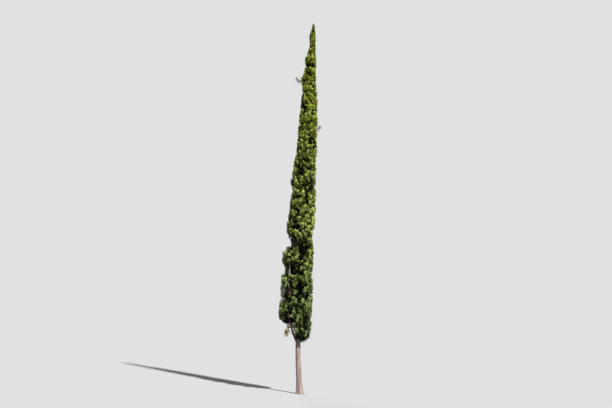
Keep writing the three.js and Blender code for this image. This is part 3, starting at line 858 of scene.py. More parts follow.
def place_clumps(seed):
    """Root and tip of the stem of each clump in one mass, the fork on the limb that it grows from, how far
    it stands out (0 to 1) and its size (0 at the top of the tree, 1 at the widest)."""
    count = CLUMPS_FULL if seed["tier"] < FULL_TIERS else CLUMPS_SMALL
    index = np.arange(count)
    spin = GOLDEN_ANGLE * index + rng.uniform(-SPIN_SHIFT, SPIN_SHIFT, count)
    across, along = np.cos(spin), np.sin(spin)
    spread = SPREAD_IN_LUMP if seed["fill"] < 1 else SPREAD
    reach = np.sqrt((index + 0.5) / count) * rng.uniform(*REACH_SHIFTS, count) * spread
    reach = reach * space_reach(seed, across, along)
    turn = seed["turn"] + across * reach * UNIT_TURN
    level = seed["level"] + along * reach * TIER_PITCH
    stands = NOISE_PART * crown_lumps(turn, level + RISE * THICKEST) + CHANCE_PART * rng.random(count)
    root = place_at_level(turn, between(*ROOT_SHARES, stands), level)
    size = np.clip(crown_radius(turn, root[:, 2]) / CROWN_RADIUS, 0, 1)
    length = between(CLUMP_LENGTH_HIGH, CLUMP_LENGTH_LOW, size) * rng.uniform(*LENGTH_SHIFTS, count)
    tip_turn = turn + rng.uniform(-TIP_TURN_SHIFT, TIP_TURN_SHIFT, count)
    tip = place(tip_turn, between(*TIP_SHARES, stands), root[:, 2] + CLUMP_RISE * length)
    fork = place_at_level(seed["turn"], between(*FORK_SHARES, rng.random(count)), seed["level"])
    keep = (root[:, 2] > CROWN_FOOT - FOOT_ROOM) & ~in_gap(turn, root[:, 2] + GAP_PART * length)
    clumps = {"fork": fork, "root": root, "tip": pulled_in(tip, CLUMP_LIMIT), "stands": stands, "size": size}
    return {key: value[keep] for key, value in clumps.items()}


def merged(groups):
    """Several dictionaries of arrays as one."""
    return {key: np.concatenate([group[key] for group in groups]) for key in groups[0]}


# %% Clumps on the upright limb
# For a tier, the heights between which the limb has clumps, and how many
LIMB_CLUMPS = {2: (4.12, 4.5, 9), 3: (5.1, 5.45, 8)}
LIMB_CLUMP_REACH = 0.3
LIMB_CLUMP_FOOT = 0.06
LIMB_CLUMP_RISE = 0.6
LIMB_CLUMP_SIZE = 0.8
LIMB_CLUMP_SHIFTS = (0.7, 1.0)
LIMB_CLUMP_STANDS = (0.6, 1.0)
LIMB_LINE = np.stack([FREE_LIMBS[0, 0], FREE_LIMBS[0].T @ (0.25, 0.5, 0.25), FREE_LIMBS[0, 2]])
FAN_MIDDLE = FRONT - 0.5
FAN = 1.5


def limb_clumps(low, high, count):
    """Clumps on the upright limb between two heights, which fan out to the left, the front and the right."""
    z = np.linspace(low, high, count)
    fork = np.stack([np.interp(z, LIMB_LINE[:, 2], LIMB_LINE[:, axis]) for axis in range(3)], axis=1)
    turn = FAN_MIDDLE + FAN * np.sin(GOLDEN_ANGLE * np.arange(count))
    way = np.stack([np.cos(turn), np.sin(turn), np.full(count, LIMB_CLUMP_RISE)], axis=1)
    root = fork + LIMB_CLUMP_FOOT * way
    tip = fork + LIMB_CLUMP_REACH * way * rng.uniform(*LIMB_CLUMP_SHIFTS, (count, 1))
    tip = pulled_in(tip, CLUMP_LIMIT)
    stands = rng.uniform(*LIMB_CLUMP_STANDS, count)
    return {"fork": fork, "root": root, "tip": tip, "stands": stands, "size": np.full(count, LIMB_CLUMP_SIZE)}


# %% Clumps in the steps of the outline
# For a tier, the height, reach and turn of each of its extra clumps
STEPS = {
    2: (
        (3.7, 0.6, LEFT),
        (3.8, 0.68, LEFT),
        (3.9, 0.62, LEFT),
        (4.0, 0.7, LEFT),
        (4.1, 0.64, LEFT),
        (4.2, 0.56, LEFT),
        (4.3, 0.64, LEFT),
    ),
    9: ((12.64, 0.34, LEFT), (12.75, 0.38, LEFT), (12.84, 0.3, LEFT)),
    10: (
        (13.62, 0.2, LEFT),
        (13.74, 0.22, LEFT),
        (13.24, 0.21, -1.75),
        (13.56, 0.17, -1.0),
        (13.64, 0.17, -2.1),
        (13.74, 0.16, -1.5),
    ),
}
STEP_FORK_DROP = 0.1
STEP_ROOT_PART = 0.35
STEP_ROOT_RISE = 0.08
STEP_TIP_RISE = 0.24
STEP_STANDS = 0.6


def step_clumps(steps):
    """Clumps that lean out from the trunk, one for each triple of height, reach and turn. The root lies
    part of the way out, the tip all of the way, and both lie above the fork."""
    z, reach, turn = np.array(steps).T
    fork = trunk_centre(z - STEP_FORK_DROP)
    way = np.stack([reach * np.cos(turn), reach * np.sin(turn), np.zeros_like(z)], axis=1)
    root = fork + STEP_ROOT_PART * way + np.array([0, 0, STEP_ROOT_RISE])
    tip = fork + way + np.array([0, 0, STEP_TIP_RISE])
    size = np.clip(crown_radius(turn, z) / CROWN_RADIUS, 0, 1)
    return {"fork": fork, "root": root, "tip": tip, "stands": np.full(len(z), STEP_STANDS), "size": size}


# %% All the clumps
def clumps_of(tier):
    """The clumps of all the masses in one tier, and those on the upright limb or in a step that it has."""
    groups = [place_clumps(seed) for seed in seeds if seed["tier"] == tier]
    if tier in LIMB_CLUMPS:
        groups.append(limb_clumps(*LIMB_CLUMPS[tier]))
    if tier in STEPS:
        groups.append(step_clumps(STEPS[tier]))
    return merged(groups)


tier_clumps = [clumps_of(tier) for tier in range(TIERS)]
print("clumps:", sum(len(clumps["root"]) for clumps in tier_clumps))

# %% [markdown]
# ## From clump to twig
#
# A stem carries a handful of twigs. Low on it they lean well out, and near its tip they close up along it,
# which gives a clump its pointed shape. Cypress twigs also turn to the light, so those that would point
# inwards are turned out again. Two stray twigs stand outside the crown, as the photograph shows.

# %% Grow twigs on the clumps
TWIGS_A_CLUMP = 5
TWIG_LENGTH_LOW = 0.17
TWIG_LENGTH_HIGH = 0.1
TWIG_LEAN_LOW = 1.3
TWIG_LEAN_HIGH = 0.3
TWIG_SCATTER = 0.2
TWIG_SIDE = (0.3, 0.2, 1.0)
TWIGS_FROM = 0.05
TWIGS_TO = 0.9
LAST_TWIG_SHARE = 0.75
TWIG_LENGTH_SHIFTS = (0.8, 1.2)
TWIG_LIMIT = 0.97
TURN_OUT = 1.6
OUTWARD_PULL = 0.25


def outward_of(point):
    """The level direction from the trunk's middle line to each point."""
    apart = point - trunk_centre(point[..., 2])
    return unit(apart * np.array([1, 1, 0]))


def grow_twigs(clumps):
    """The twigs of the clumps: each leaves its stem at a golden angle from the last and points along
    axis + lean * aside + a little outward, with the lean falling towards the stem's tip. Where aside points
    inwards, more than its inward part is taken off."""
    count = len(clumps["root"])
    part = np.linspace(0, 1, TWIGS_A_CLUMP)[None, :, None]
    root, tip = clumps["root"][:, None], clumps["tip"][:, None]
    axis = unit(tip - root)
    spin = GOLDEN_ANGLE * np.arange(TWIGS_A_CLUMP)[None, :, None] + rng.uniform(0, TAU, (count, 1, 1))
    right = unit(np.cross(axis, np.array(TWIG_SIDE)))
    aside = np.cos(spin) * right + np.sin(spin) * np.cross(right, axis)
    start = between(root, tip, between(TWIGS_FROM, TWIGS_TO, part))
    outward = outward_of(start)
    inward = np.minimum(np.sum(aside * outward, axis=2, keepdims=True), 0)
    aside = aside - TURN_OUT * inward * outward
    lean = between(TWIG_LEAN_LOW, TWIG_LEAN_HIGH, part)
    way = axis + lean * aside + OUTWARD_PULL * outward + rng.normal(0, TWIG_SCATTER, start.shape)
    way = unit(way)
    size = clumps["size"][:, None, None]
    length = between(TWIG_LENGTH_HIGH, TWIG_LENGTH_LOW, size) * between(1.0, LAST_TWIG_SHARE, part)
    length = length * rng.uniform(*TWIG_LENGTH_SHIFTS, (count, TWIGS_A_CLUMP, 1))
    end = pulled_in(start + way * length, TWIG_LIMIT)
    twigs = {key: np.repeat(clumps[key], TWIGS_A_CLUMP) for key in ("stands", "size")}
    twigs["height"] = np.tile(part.ravel(), count)
    twigs["limit"] = np.ones(len(twigs["height"]))
    return {"root": start.reshape(-1, 3), "tip": end.reshape(-1, 3), **twigs}


# %% Stray twigs
# For a tier, the root and the tip of its stray twig
STRAYS = {
    7: ((0.01, -0.05, 10.77), (0.15, -0.06, 10.95)),
    9: ((-0.74, -0.02, 12.79), (-0.93, -0.02, 12.98)),
}
STRAY_LIMIT = 9.0
STRAY_STANDS = -0.3
STRAY_HEIGHT = 0.5


def twigs_of(tier):
    """The twigs of one tier, and where it has one, the stray twig. Its limit lets its sprays stand outside
    the outline, and its low scores for light keep them dark."""
    twigs = grow_twigs(tier_clumps[tier])
    if tier not in STRAYS:
        return twigs
    root, tip = STRAYS[tier]
    stray = {
        "root": np.array([root]),
        "tip": np.array([tip]),
        "stands": np.array([STRAY_STANDS]),
        "size": np.ones(1),
        "height": np.array([STRAY_HEIGHT]),
        "limit": np.array([STRAY_LIMIT]),
    }
    return merged([twigs, stray])


tier_twigs = [twigs_of(tier) for tier in range(TIERS)]
print("twigs:", sum(len(twigs["root"]) for twigs in tier_twigs))

# %% [markdown]
# ## One spray
#
# A spray of cypress is a small plume of cords, each cord covered in tiny scale leaves. At this size
# each cord is one narrow kite of two triangles, folded along its middle so that its two halves catch the
# light differently. A dozen such kites on a common axis, lifted out of the flat by turns, make one
# spray. A picture of a spray on a flat card would need see-through parts, which few other programs read
# alike. A few different sprays are made once, and every spray on the tree is one of them.

# %% Templates of sprays
TEMPLATES = 8
SIDE_CORDS = 12
CORD_WIDTH = 0.064
CORD_WAIST = 0.58
CORD_FOLD = 0.33
MIDDLE_CORD = 1.1
CORDS_FROM = 0.04
CORDS_OVER = 0.84
CORD_FOOT_SHIFT = 0.02
CORD_REACH = (0.5, 0.7)
CORD_LEAST = 0.13
CORD_ANGLES = (0.45, 0.8)
CORD_LIFTS = (0.15, 0.5)
CORD_WIDTH_SHIFTS = (0.85, 1.15)
PLAIN_CORDS = 4
PLAIN_WIDTH = 0.17


def cord(root, tip, normal, width):
    """Four points of one kite: root, right, tip and left. It is widest past its middle, and both sides are
    bent down by a third of its width."""
    ahead = unit(tip - root)
    across = np.cross(ahead, normal)
    waist = root + CORD_WAIST * (tip - root) - CORD_FOLD * width * normal
    return np.stack([root, waist + across * width / 2, tip, waist - across * width / 2])


def make_spray(chance, side_cords, width):
    """One spray of length one along +Y: a middle cord and side cords that lean 25 to 45 degrees from it,
    shorter towards the tip. They leave it to the right and left by turns, two up and two down."""
    cords = [cord(np.zeros(3), np.array([0, 1.0, 0]), np.array([0, 0, 1.0]), width * MIDDLE_CORD)]
    for i in range(side_cords):
        side = 1 if i % 2 else -1
        shift = chance.uniform(-CORD_FOOT_SHIFT, CORD_FOOT_SHIFT)
        foot = CORDS_FROM + CORDS_OVER * i / side_cords + shift
        length = (1 - foot) * chance.uniform(*CORD_REACH) + CORD_LEAST
        angle = chance.uniform(*CORD_ANGLES)
        lift = chance.uniform(*CORD_LIFTS) * (1 if i % 4 < 2 else -1)
        way = unit(np.array([side * math.sin(angle), math.cos(angle), lift * math.sin(angle)]))
        normal = unit(np.array([-side * lift, 0.1, 1.0]))
        root = np.array([0, foot, 0])
        cords.append(cord(root, root + way * length, normal, width * chance.uniform(*CORD_WIDTH_SHIFTS)))
    return np.concatenate(cords)


def kites_of(count):
    """The triangles of some kites, two to each, over their points in order."""
    return np.concatenate([np.array([[0, 1, 2], [0, 2, 3]]) + 4 * i for i in range(count)])


spray_rng = np.random.default_rng(31)
sprays = np.stack([make_spray(spray_rng, SIDE_CORDS, CORD_WIDTH) for _ in range(TEMPLATES)])
plain_sprays = np.stack([make_spray(spray_rng, PLAIN_CORDS, PLAIN_WIDTH) for _ in range(TEMPLATES)])
SPRAY_TRIANGLES = len(kites_of(SIDE_CORDS + 1))
PLAIN_TRIANGLES = len(kites_of(PLAIN_CORDS + 1))
print("triangles in a spray:", SPRAY_TRIANGLES, "and in a plain one:", PLAIN_TRIANGLES)

# %% [markdown]
# ## Sprays on a twig
#
# The sprays stand round the twig by the golden angle once more. Low on the twig they lean well out,
# towards its tip they close up along it, and all of them turn a little upwards to the light. Tints are dealt
# out here too: the height gives the family of greens, and how much light the place gets gives the shade.

# %% Tints by height and light
TOP_ZONE = 10.4
LOW_ZONE = 5.6
ZONE_BLUR = 0.9
# Each place with dead sprays: x and z of its middle, and how far it reaches
RUSTY_PLACES = (
    (-0.35, 15.36, 0.2),
    (-0.36, 14.5, 0.06),
    (-0.43, 13.15, 0.11),
    (-0.1, 11.9, 0.12),
    (-0.05, 11.15, 0.12),
    (-0.02, 10.6, 0.16),
    (0.0, 10.2, 0.14),
    (0.02, 9.8, 0.1),
)
RUSTY_CHANCE = 0.5


def choose_tints(origin, light):
    """The number of each spray's tint: zone by height with a blurred edge, shade by the light score. Of the
    lit sprays in front near a rusty place, some are dead ones by chance."""
    height = origin[:, 2] + rng.normal(0, ZONE_BLUR, len(origin))
    zone = np.where(height > TOP_ZONE, 0, np.where(height > LOW_ZONE, 1, 2))
    shade = np.clip(np.floor(light * SHADES), 0, SHADES - 1).astype(int)
    tints = zone * SHADES + shade
    apart = [np.hypot(origin[:, 0] - x, origin[:, 2] - z) / reach for x, z, reach in RUSTY_PLACES]
    near = np.min(apart, axis=0) < 1
    in_front = origin[:, 1] < trunk_centre(origin[:, 2])[:, 1]
    dead = near & in_front & (rng.random(len(origin)) < RUSTY_CHANCE) & (light > 0)
    return np.where(dead, RUSTY, tints)


# %% Grow sprays on the twigs
SPRAYS_A_TWIG = 10
SPRAY_LENGTH_LOW = 0.13
SPRAY_LENGTH_HIGH = 0.085
SPRAY_LEAN_LOW = 1.2
SPRAY_LEAN_HIGH = 0.3
SPRAY_LEAN_FALL = 1.3
SPRAY_LIFT = 0.22
SPRAY_SCATTER = 0.1
SPRAY_SIDE = (0.2, 0.1, 1.0)
SPRAY_SIDE_SCATTER = 0.2
SPRAYS_FROM = 0.08
SPRAYS_OVER = 0.9
ALONG_SHIFT = 0.03
SPRAY_LENGTH_SHIFTS = (0.75, 1.2)
TIPS_LEAST = 0.88
TIPS_MOST = 1.01
WINDOW_REST = 0.04
LIGHT_ALONG = 0.55
LIGHT_STANDS = 0.45
LIGHT_HEIGHT = 0.34
LIGHT_LOSS = 0.24
TWIG_LIGHT_SCATTER = 0.13
SPRAY_LIGHT_SCATTER = 0.1
SHADY_HEIGHTS = (2.6, 3.3, 4.2, 4.7, 6.0, 6.5, 13.6, 14.4)
SHADY_LOSSES = (0.16, 0.0, 0.0, 0.07, 0.07, 0.0, 0.0, 0.14)
window_rng = np.random.default_rng(7)


def grow_sprays(twigs, count):
    """Origin, tip and light score of all the sprays on some twigs. A spray points along
    axis + lean * aside + a little up, with the lean falling towards the twig's tip. Most of those in the
    windows are left out. The light score adds up how far along the twig the spray is, how far its clump
    stands out and how high its twig is on the stem, less what is lost in the shady parts of the crown."""
    total = len(twigs["root"])
    along = (np.arange(count) + 0.5) / count + rng.uniform(-ALONG_SHIFT, ALONG_SHIFT, (total, count))
    along = np.clip(along, 0, 1)[..., None]
    spin = (GOLDEN_ANGLE * np.arange(count) + rng.uniform(0, TAU, (total, 1)))[..., None]
    axis = unit(twigs["tip"] - twigs["root"])[:, None]
    side = np.array(SPRAY_SIDE) + rng.normal(0, SPRAY_SIDE_SCATTER, (total, 1, 3))
    right = unit(np.cross(axis, side))
    aside = np.cos(spin) * right + np.sin(spin) * np.cross(right, axis)
    lean = between(SPRAY_LEAN_LOW, SPRAY_LEAN_HIGH, along**SPRAY_LEAN_FALL)
    way = axis + lean * aside + np.array([0, 0, SPRAY_LIFT]) + rng.normal(0, SPRAY_SCATTER, (total, count, 3))
    way = unit(way)
    origin = between(twigs["root"][:, None], twigs["tip"][:, None], SPRAYS_FROM + SPRAYS_OVER * along)
    length = between(SPRAY_LENGTH_HIGH, SPRAY_LENGTH_LOW, twigs["size"])[:, None, None]
    length = length * rng.uniform(*SPRAY_LENGTH_SHIFTS, (total, count, 1))
    limit = twigs["limit"][:, None] * rng.uniform(TIPS_LEAST, TIPS_MOST, (total, count))
    tip = pulled_in(origin + way * length, limit)
    grows = ~(in_window(origin) | in_window(tip)) | (window_rng.random((total, count)) < WINDOW_REST)
    light = LIGHT_ALONG * along[..., 0] + LIGHT_STANDS * twigs["stands"][:, None]
    light = light + LIGHT_HEIGHT * twigs["height"][:, None]
    light = light - np.interp(origin[..., 2], SHADY_HEIGHTS, SHADY_LOSSES)
    light = light + rng.normal(0, TWIG_LIGHT_SCATTER, (total, 1))
    light = light + rng.normal(0, SPRAY_LIGHT_SCATTER, (total, count)) - LIGHT_LOSS
    return origin[grows], tip[grows], light[grows]


# %% Lay the sprays out as one mesh
def lay_out(origin, tip, shapes):
    """Put one of the shapes from each origin to its tip. A point (x, y, z) of the shape goes to
    origin + length * (x across + y way + z through)."""
    count = len(origin)
    length = np.linalg.norm(tip - origin, axis=1)[:, None, None]
    way = unit(tip - origin)
    across = unit(np.cross(way, rng.normal(0, 1, (count, 3))))
    through = np.cross(across, way)
    shape = shapes[rng.integers(0, TEMPLATES, count)] * length
    points = origin[:, None] + shape[..., 0:1] * across[:, None] + shape[..., 1:2] * way[:, None]
    points = points + shape[..., 2:3] * through[:, None]
    faces = kites_of(shape.shape[1] // 4)[None] + (np.arange(count) * shape.shape[1])[:, None, None]
    return points.reshape(-1, 3), faces.reshape(-1, 3)


def leaf_piece(name, outer, inner):
    """A joined foliage mesh of whole sprays and, inside, of plainer ones. Each of the two is a triple of
    origins, tips and tints. The piece carries only the tints that it uses, and keeps in the solids' box."""
    points, faces = joined([lay_out(*outer[:2], sprays), lay_out(*inner[:2], plain_sprays)])
    points = np.clip(points, cad_box[0], cad_box[1])
    used, numbers = np.unique(np.concatenate([outer[2], inner[2]]), return_inverse=True)
    each = np.repeat([SPRAY_TRIANGLES, PLAIN_TRIANGLES], [len(outer[0]), len(inner[0])])
    numbers = np.repeat(numbers.ravel(), each)
    piece = new_piece(name, points, faces, numbers, [tint_materials[i] for i in used])
    print(name, "triangles:", len(faces))
    return piece


# %% [markdown]
# ## Shade inside the crown
#
# A cypress keeps its old, dull foliage inside. It is never seen clearly, but without it one could look right
# through the crown. Fewer and larger sprays are enough there, all in the darkest green of their zone, which
# is a painted shade.

# %% Inner sprays
INNER_SPRAYS = 330
INNER_SPRAYS_HIGH = 480
INNER_HIGH_FROM = 8
INNER_LENGTH = 0.24
INNER_FROM_LOW = 0.12
INNER_FROM_HIGH = 0.04
INNER_TO = 0.66
INNER_SPREAD = 0.95
INNER_OUT = 0.5
INNER_UP = 0.7
INNER_SCATTER = 0.4
INNER_LEAST = 0.35
INNER_FOOT_ROOM = 0.1
INNER_LIMIT = 0.82


def inner_sprays(seed):
    """Sprays at chance places in the inner part of one mass's space, pointing up and out. Those that start or
    end in a gap are left out."""
    count = INNER_SPRAYS if seed["tier"] < INNER_HIGH_FROM else INNER_SPRAYS_HIGH
    spin = rng.uniform(0, TAU, count)
    across, along = np.cos(spin), np.sin(spin)
    reach = np.sqrt(rng.random(count)) * INNER_SPREAD * space_reach(seed, across, along)
    turn = seed["turn"] + across * reach * UNIT_TURN
    level = seed["level"] + along * reach * TIER_PITCH
    nearest = INNER_FROM_LOW if seed["tier"] < FULL_TIERS else INNER_FROM_HIGH
    origin = place_at_level(turn, rng.uniform(nearest, INNER_TO, count), level)
    size = np.clip(crown_radius(turn, origin[:, 2]) / CROWN_RADIUS, INNER_LEAST, 1)[:, None]
    way = INNER_OUT * outward_of(origin) + np.array([0, 0, INNER_UP])
    way = unit(way + rng.normal(0, INNER_SCATTER, (count, 3)))
    tip = pulled_in(origin + way * size * INNER_LENGTH, INNER_LIMIT)
    outward = outward_of(tip)
    tip_turn = np.arctan2(outward[:, 1], outward[:, 0])
    in_the_open = in_gap(turn, origin[:, 2] + INNER_FOOT_ROOM) | in_gap(tip_turn, tip[:, 2])
    keep = (origin[:, 2] > CROWN_FOOT + INNER_FOOT_ROOM) & ~in_the_open
    return origin[keep], tip[keep]


# %% Dress the tiers
def tier_leaves(tier):
    """The foliage of one tier: sprays on all its twigs, and the inner sprays of its masses."""
    origin, tip, light = grow_sprays(tier_twigs[tier], SPRAYS_A_TWIG)
    inner = [inner_sprays(seed) for seed in seeds if seed["tier"] == tier]
    inner_origin = np.concatenate([pair[0] for pair in inner])
    inner_tip = np.concatenate([pair[1] for pair in inner])
    outer = (origin, tip, choose_tints(origin, light))
    # A light score of zero deals the inner sprays the darkest shade of their zone, a painted shade
    dark = choose_tints(inner_origin, np.zeros(len(inner_origin)))
    return leaf_piece(f"leaves_tier_{tier + 1:02d}", outer, (inner_origin, inner_tip, dark))


for tier in range(TIERS):
    leaves = tier_leaves(tier)
    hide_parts(*[f"foliage_{seed['side']}" for seed in seeds if seed["tier"] == tier])

# %% [markdown]
# ## The leader
#
# The top of the crown, a little less than two metres of it, is the leader: clumps in a tight spiral round
# the trunk's tip. They follow the same rules as the others, from clump to twig to spray, and only get smaller
# towards the top.

# %% The leader
LEADER_CLUMPS = 44
LEADER_LOW = 13.7
LEADER_HIGH = 15.2
LEADER_CROWDING = 0.85
LEADER_ROOT_SHARE = 0.35
LEADER_SIZE = 0.12
LEADER_LIMIT = 0.95
LEADER_TIP_SHARES = (0.7, 1.0)
LEADER_CLUMP_HEIGHTS = (0.24, 0.15)
LEADER_STANDS = (0.3, 1.0)
LEADER_FORK_DROP = 0.05
LEADER_FORK_LIMIT = TRUNK_TOP - 0.1
TOP_CLUMP = (15.1, 15.38)


def place_leader():
    """Clumps that go up in a spiral from the highest masses to the top, and one that stands on the tip."""
    part = (np.arange(LEADER_CLUMPS) / LEADER_CLUMPS) ** LEADER_CROWDING
    z = between(LEADER_LOW, LEADER_HIGH, part)
    turn = GOLDEN_ANGLE * np.arange(LEADER_CLUMPS)
    root = place(turn, np.full(LEADER_CLUMPS, LEADER_ROOT_SHARE), z)
    tip_share = rng.uniform(*LEADER_TIP_SHARES, LEADER_CLUMPS)
    tip = place(turn, tip_share, z + between(*LEADER_CLUMP_HEIGHTS, part))
    root = np.concatenate([root, trunk_centre(TOP_CLUMP[:1])])
    tip = np.concatenate([tip, trunk_centre(TOP_CLUMP[1:])])
    count = len(root)
    return {
        "fork": trunk_centre(np.minimum(root[:, 2] - LEADER_FORK_DROP, LEADER_FORK_LIMIT)),
        "root": root,
        "tip": pulled_in(tip, LEADER_LIMIT),
        "stands": rng.uniform(*LEADER_STANDS, count),
        "size": np.full(count, LEADER_SIZE),
    }


leader_clumps = place_leader()
leader_twigs = grow_twigs(leader_clumps)
leader_origin, leader_tip, leader_light = grow_sprays(leader_twigs, SPRAYS_A_TWIG)
leader_outer = (leader_origin, leader_tip, choose_tints(leader_origin, leader_light))

# %% Fill the leader
FILLING = 1150
FILLING_FROM = 11.3
FILLING_TO = 15.1
FILLING_SHARE = 0.66
FILLING_LENGTH = 0.15
FILLING_LIMIT = 0.8
FILLING_SCATTER = 0.35


def leader_filling():
    """Plain sprays along the trunk's tip, in the darkest greens as a painted shade, which keep the leader
    from being looked through.
    """
    z = rng.uniform(FILLING_FROM, FILLING_TO, FILLING)
    origin = place(rng.uniform(0, TAU, FILLING), rng.uniform(0.0, FILLING_SHARE, FILLING), z)
    way = unit(rng.normal(0, FILLING_SCATTER, (FILLING, 3)) + np.array([0, 0, 1.0]))
    tip = pulled_in(origin + FILLING_LENGTH * way, FILLING_LIMIT)
    return origin, tip, choose_tints(origin, np.zeros(FILLING))


leader = leaf_piece("leaves_tip", leader_outer, leader_filling())
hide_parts("foliage_tip")

# %% [markdown]
# ## Wood inside the clumps
#
# Stems and twigs are tubes too. A stem leaves its limb low, runs outwards and turns up into its clump, and
# the twigs leave it in turn. Most of this wood is hidden, but it shows in the gaps and gives the foliage
# something to hang on.

# %% Stems and twigs
STEM_RADIUS = 0.011
STEM_LEAST = 0.35
STEM_SAG = 0.06
STEM_END = 0.95
STEM_TAPER = 0.3
TWIG_RADIUS = 0.0035
TWIG_LEAST = 0.5
TWIG_SAG = 0.008
TWIG_TAPER = 0.4
STRAY_RADIUS = 0.01
STRAY_DROP = 0.33
TWIG_FURROW = 0.3


def build_twigs():
    """One tube for each clump's stem, one for each stray twig's and one for each twig, joined into a single
    mesh. Stems and twigs sag a little in their middle."""
    clumps = merged([*tier_clumps, leader_clumps])
    end = between(clumps["root"], clumps["tip"], STEM_END)
    middle = clumps["root"] + np.array([0, 0, -STEM_SAG]) * clumps["size"][:, None]
    thick = STEM_RADIUS * between(STEM_LEAST, 1.0, clumps["size"])
    stems = tubes(clumps["fork"], middle, end, thick, thick * STEM_TAPER, rings=8, sides=6)
    stray = np.array([root for root, _ in STRAYS.values()])
    slim = np.full(len(stray), STRAY_RADIUS)
    fork = trunk_centre(stray[:, 2] - STRAY_DROP)
    stray_stems = tubes(fork, between(fork, stray, 0.5), stray, slim, slim / 2, rings=8, sides=4)
    small = merged([*tier_twigs, leader_twigs])
    half = between(small["root"], small["tip"], 0.5) + np.array([0, 0, -TWIG_SAG])
    thin = TWIG_RADIUS * between(TWIG_LEAST, 1.0, small["size"])
    twigs = tubes(small["root"], half, small["tip"], thin, thin * TWIG_TAPER, rings=3, sides=3)
    points, faces = joined([stems[:2], stray_stems[:2], twigs[:2]])
    piece = new_piece("twigs", points, faces, materials=[bark])
    mark_furrows(piece, np.full(len(points), TWIG_FURROW))
    return piece


twig_wood = build_twigs()
print("twig triangles:", len(twig_wood.data.polygons))

# %% [markdown]
# ## The dry tuft
#
# Low on the left hangs a tuft that has died and bleached. It grows by the same rule as the living foliage:
# a thin bough carries a few strings, and the strings carry the same sprays. Only the strings hang, and the
# sprays are dealt two straw colours by chance.

# %% The dry tuft
DRY_TURN = LEFT + 0.62
DRY_FROM = 2.08
DRY_TO = 2.52
DRY_REACH = 0.44
DRY_STEM = 0.13
DRY_RADII = (0.015, 0.005)
DRY_FURROW = 0.55
DRY_ASIDE = np.array([-0.04, 0.05, -0.02, 0.04, -0.05, 0.01])
DRY_FALL = np.array([-0.12, -0.05, 0.18, 0.26, 0.22, 0.3])
DRY_STRINGS = len(DRY_FALL)
DRY_STRINGS_FROM = 0.9
DRY_STRINGS_TO = 0.99
DRY_OUTWARD = 0.06
DRY_STRING_RADIUS = 0.004
DRY_LIMIT = 2.0
DRY_SPRAYS = 17
PALE_CHANCE = 0.6


def build_dry_bough():
    """A thin bough from the trunk's middle line outwards, and six strings at its end, of which two stand up
    and the others hang. Each string goes down by its fall and aside by its own shift."""
    outward = np.array([math.cos(DRY_TURN), math.sin(DRY_TURN), 0])
    aside = np.array([-outward[1], outward[0], 0])
    start = trunk_centre(DRY_FROM)
    joint = trunk_centre(DRY_TO) + DRY_REACH * outward
    end = joint + DRY_STEM * unit(joint - start)
    root_radius, tip_radius = np.array(DRY_RADII)[:, None]
    line = (start[None], ((start + end) / 2)[None], end[None])
    bough = tubes(*line, root_radius, tip_radius, rings=24, sides=10)
    part = np.linspace(0, 1, DRY_STRINGS)[:, None]
    root = between(start, end, between(DRY_STRINGS_FROM, DRY_STRINGS_TO, part))
    tip = root - np.array([0, 0, 1]) * DRY_FALL[:, None] + aside * DRY_ASIDE[:, None]
    tip = tip + outward * part * DRY_OUTWARD
    thin = np.full(DRY_STRINGS, DRY_STRING_RADIUS)
    strings = tubes(root, (root + tip) / 2, tip, thin, thin / 2, rings=4, sides=4)
    points, faces = joined([bough[:2], strings[:2]])
    piece = new_piece("bough_dry_bark", points, faces, materials=[bark])
    mark_furrows(piece, np.full(len(points), DRY_FURROW))
    twigs = {
        "root": root,
        "tip": tip,
        "stands": part[:, 0],
        "size": np.ones(DRY_STRINGS),
        "height": part[:, 0],
        "limit": np.full(DRY_STRINGS, DRY_LIMIT),
    }
    return piece, twigs


bough_dry_bark, dry_strings = build_dry_bough()
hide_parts("bough_dry")
print("strings of the dry tuft:", DRY_STRINGS)

dry_origin, dry_tip, _ = grow_sprays(dry_strings, DRY_SPRAYS)
dry_tints = rng.choice([DRY_PALE, DRY_BROWN], len(dry_origin), p=[PALE_CHANCE, 1 - PALE_CHANCE])
dry_sprays = (dry_origin, dry_tip, dry_tints)
no_sprays = tuple(part[:0] for part in dry_sprays)
dry_tuft = leaf_piece("leaves_dry", dry_sprays, no_sprays)
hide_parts("foliage_dry")

# %% [markdown]
# ## Studio, light and camera
#
# The floor is plain and pale. A sun lamp gives the key light from the front on the right, as in the
# photograph, a second one with a very wide disc softens the shaded side, and a pale world fills the rest.
# The camera stands where the photograph's did: about 37 m in front of the tree with its eye 2.8 m above the
# tree's foot. A wide-angle picture leans things that stand away from its middle, and this camera rolls by
# the same small angle.

# %% The floor
FLOOR_RADIUS = 400.0
FLOOR_CORNERS = 96
FLOOR_DROP = 0.002
FLOOR_COLOUR = (0.372, 0.388, 0.416, 1)


def build_floor():
    """A large pale disc just under the cut."""
    turn = TAU * np.arange(FLOOR_CORNERS) / FLOOR_CORNERS
    below = np.full(FLOOR_CORNERS, -FLOOR_DROP)
    ring = np.stack([FLOOR_RADIUS * np.cos(turn), FLOOR_RADIUS * np.sin(turn), below], axis=1)
    mesh = bpy.data.meshes.new("floor")
    mesh.from_pydata(ring.tolist(), [], [list(range(FLOOR_CORNERS))])
    floor = bpy.data.objects.new("floor", mesh)
    bpy.context.scene.collection.objects.link(floor)
    material, _, shader = new_material("floor_pale", 0.9)
    shader.inputs["Base Color"].default_value = FLOOR_COLOUR
    shader.inputs["Specular IOR Level"].default_value = 0.0
    mesh.materials.append(material)
    return floor


floor = build_floor()
print("the floor is", 2 * FLOOR_RADIUS, "m across")

# %% The world
WORLD_COLOUR = (1.0, 1.0, 0.98, 1)
WORLD_STRENGTH = 0.12
BACKDROP_COLOUR = (0.752, 0.753, 0.755, 1)


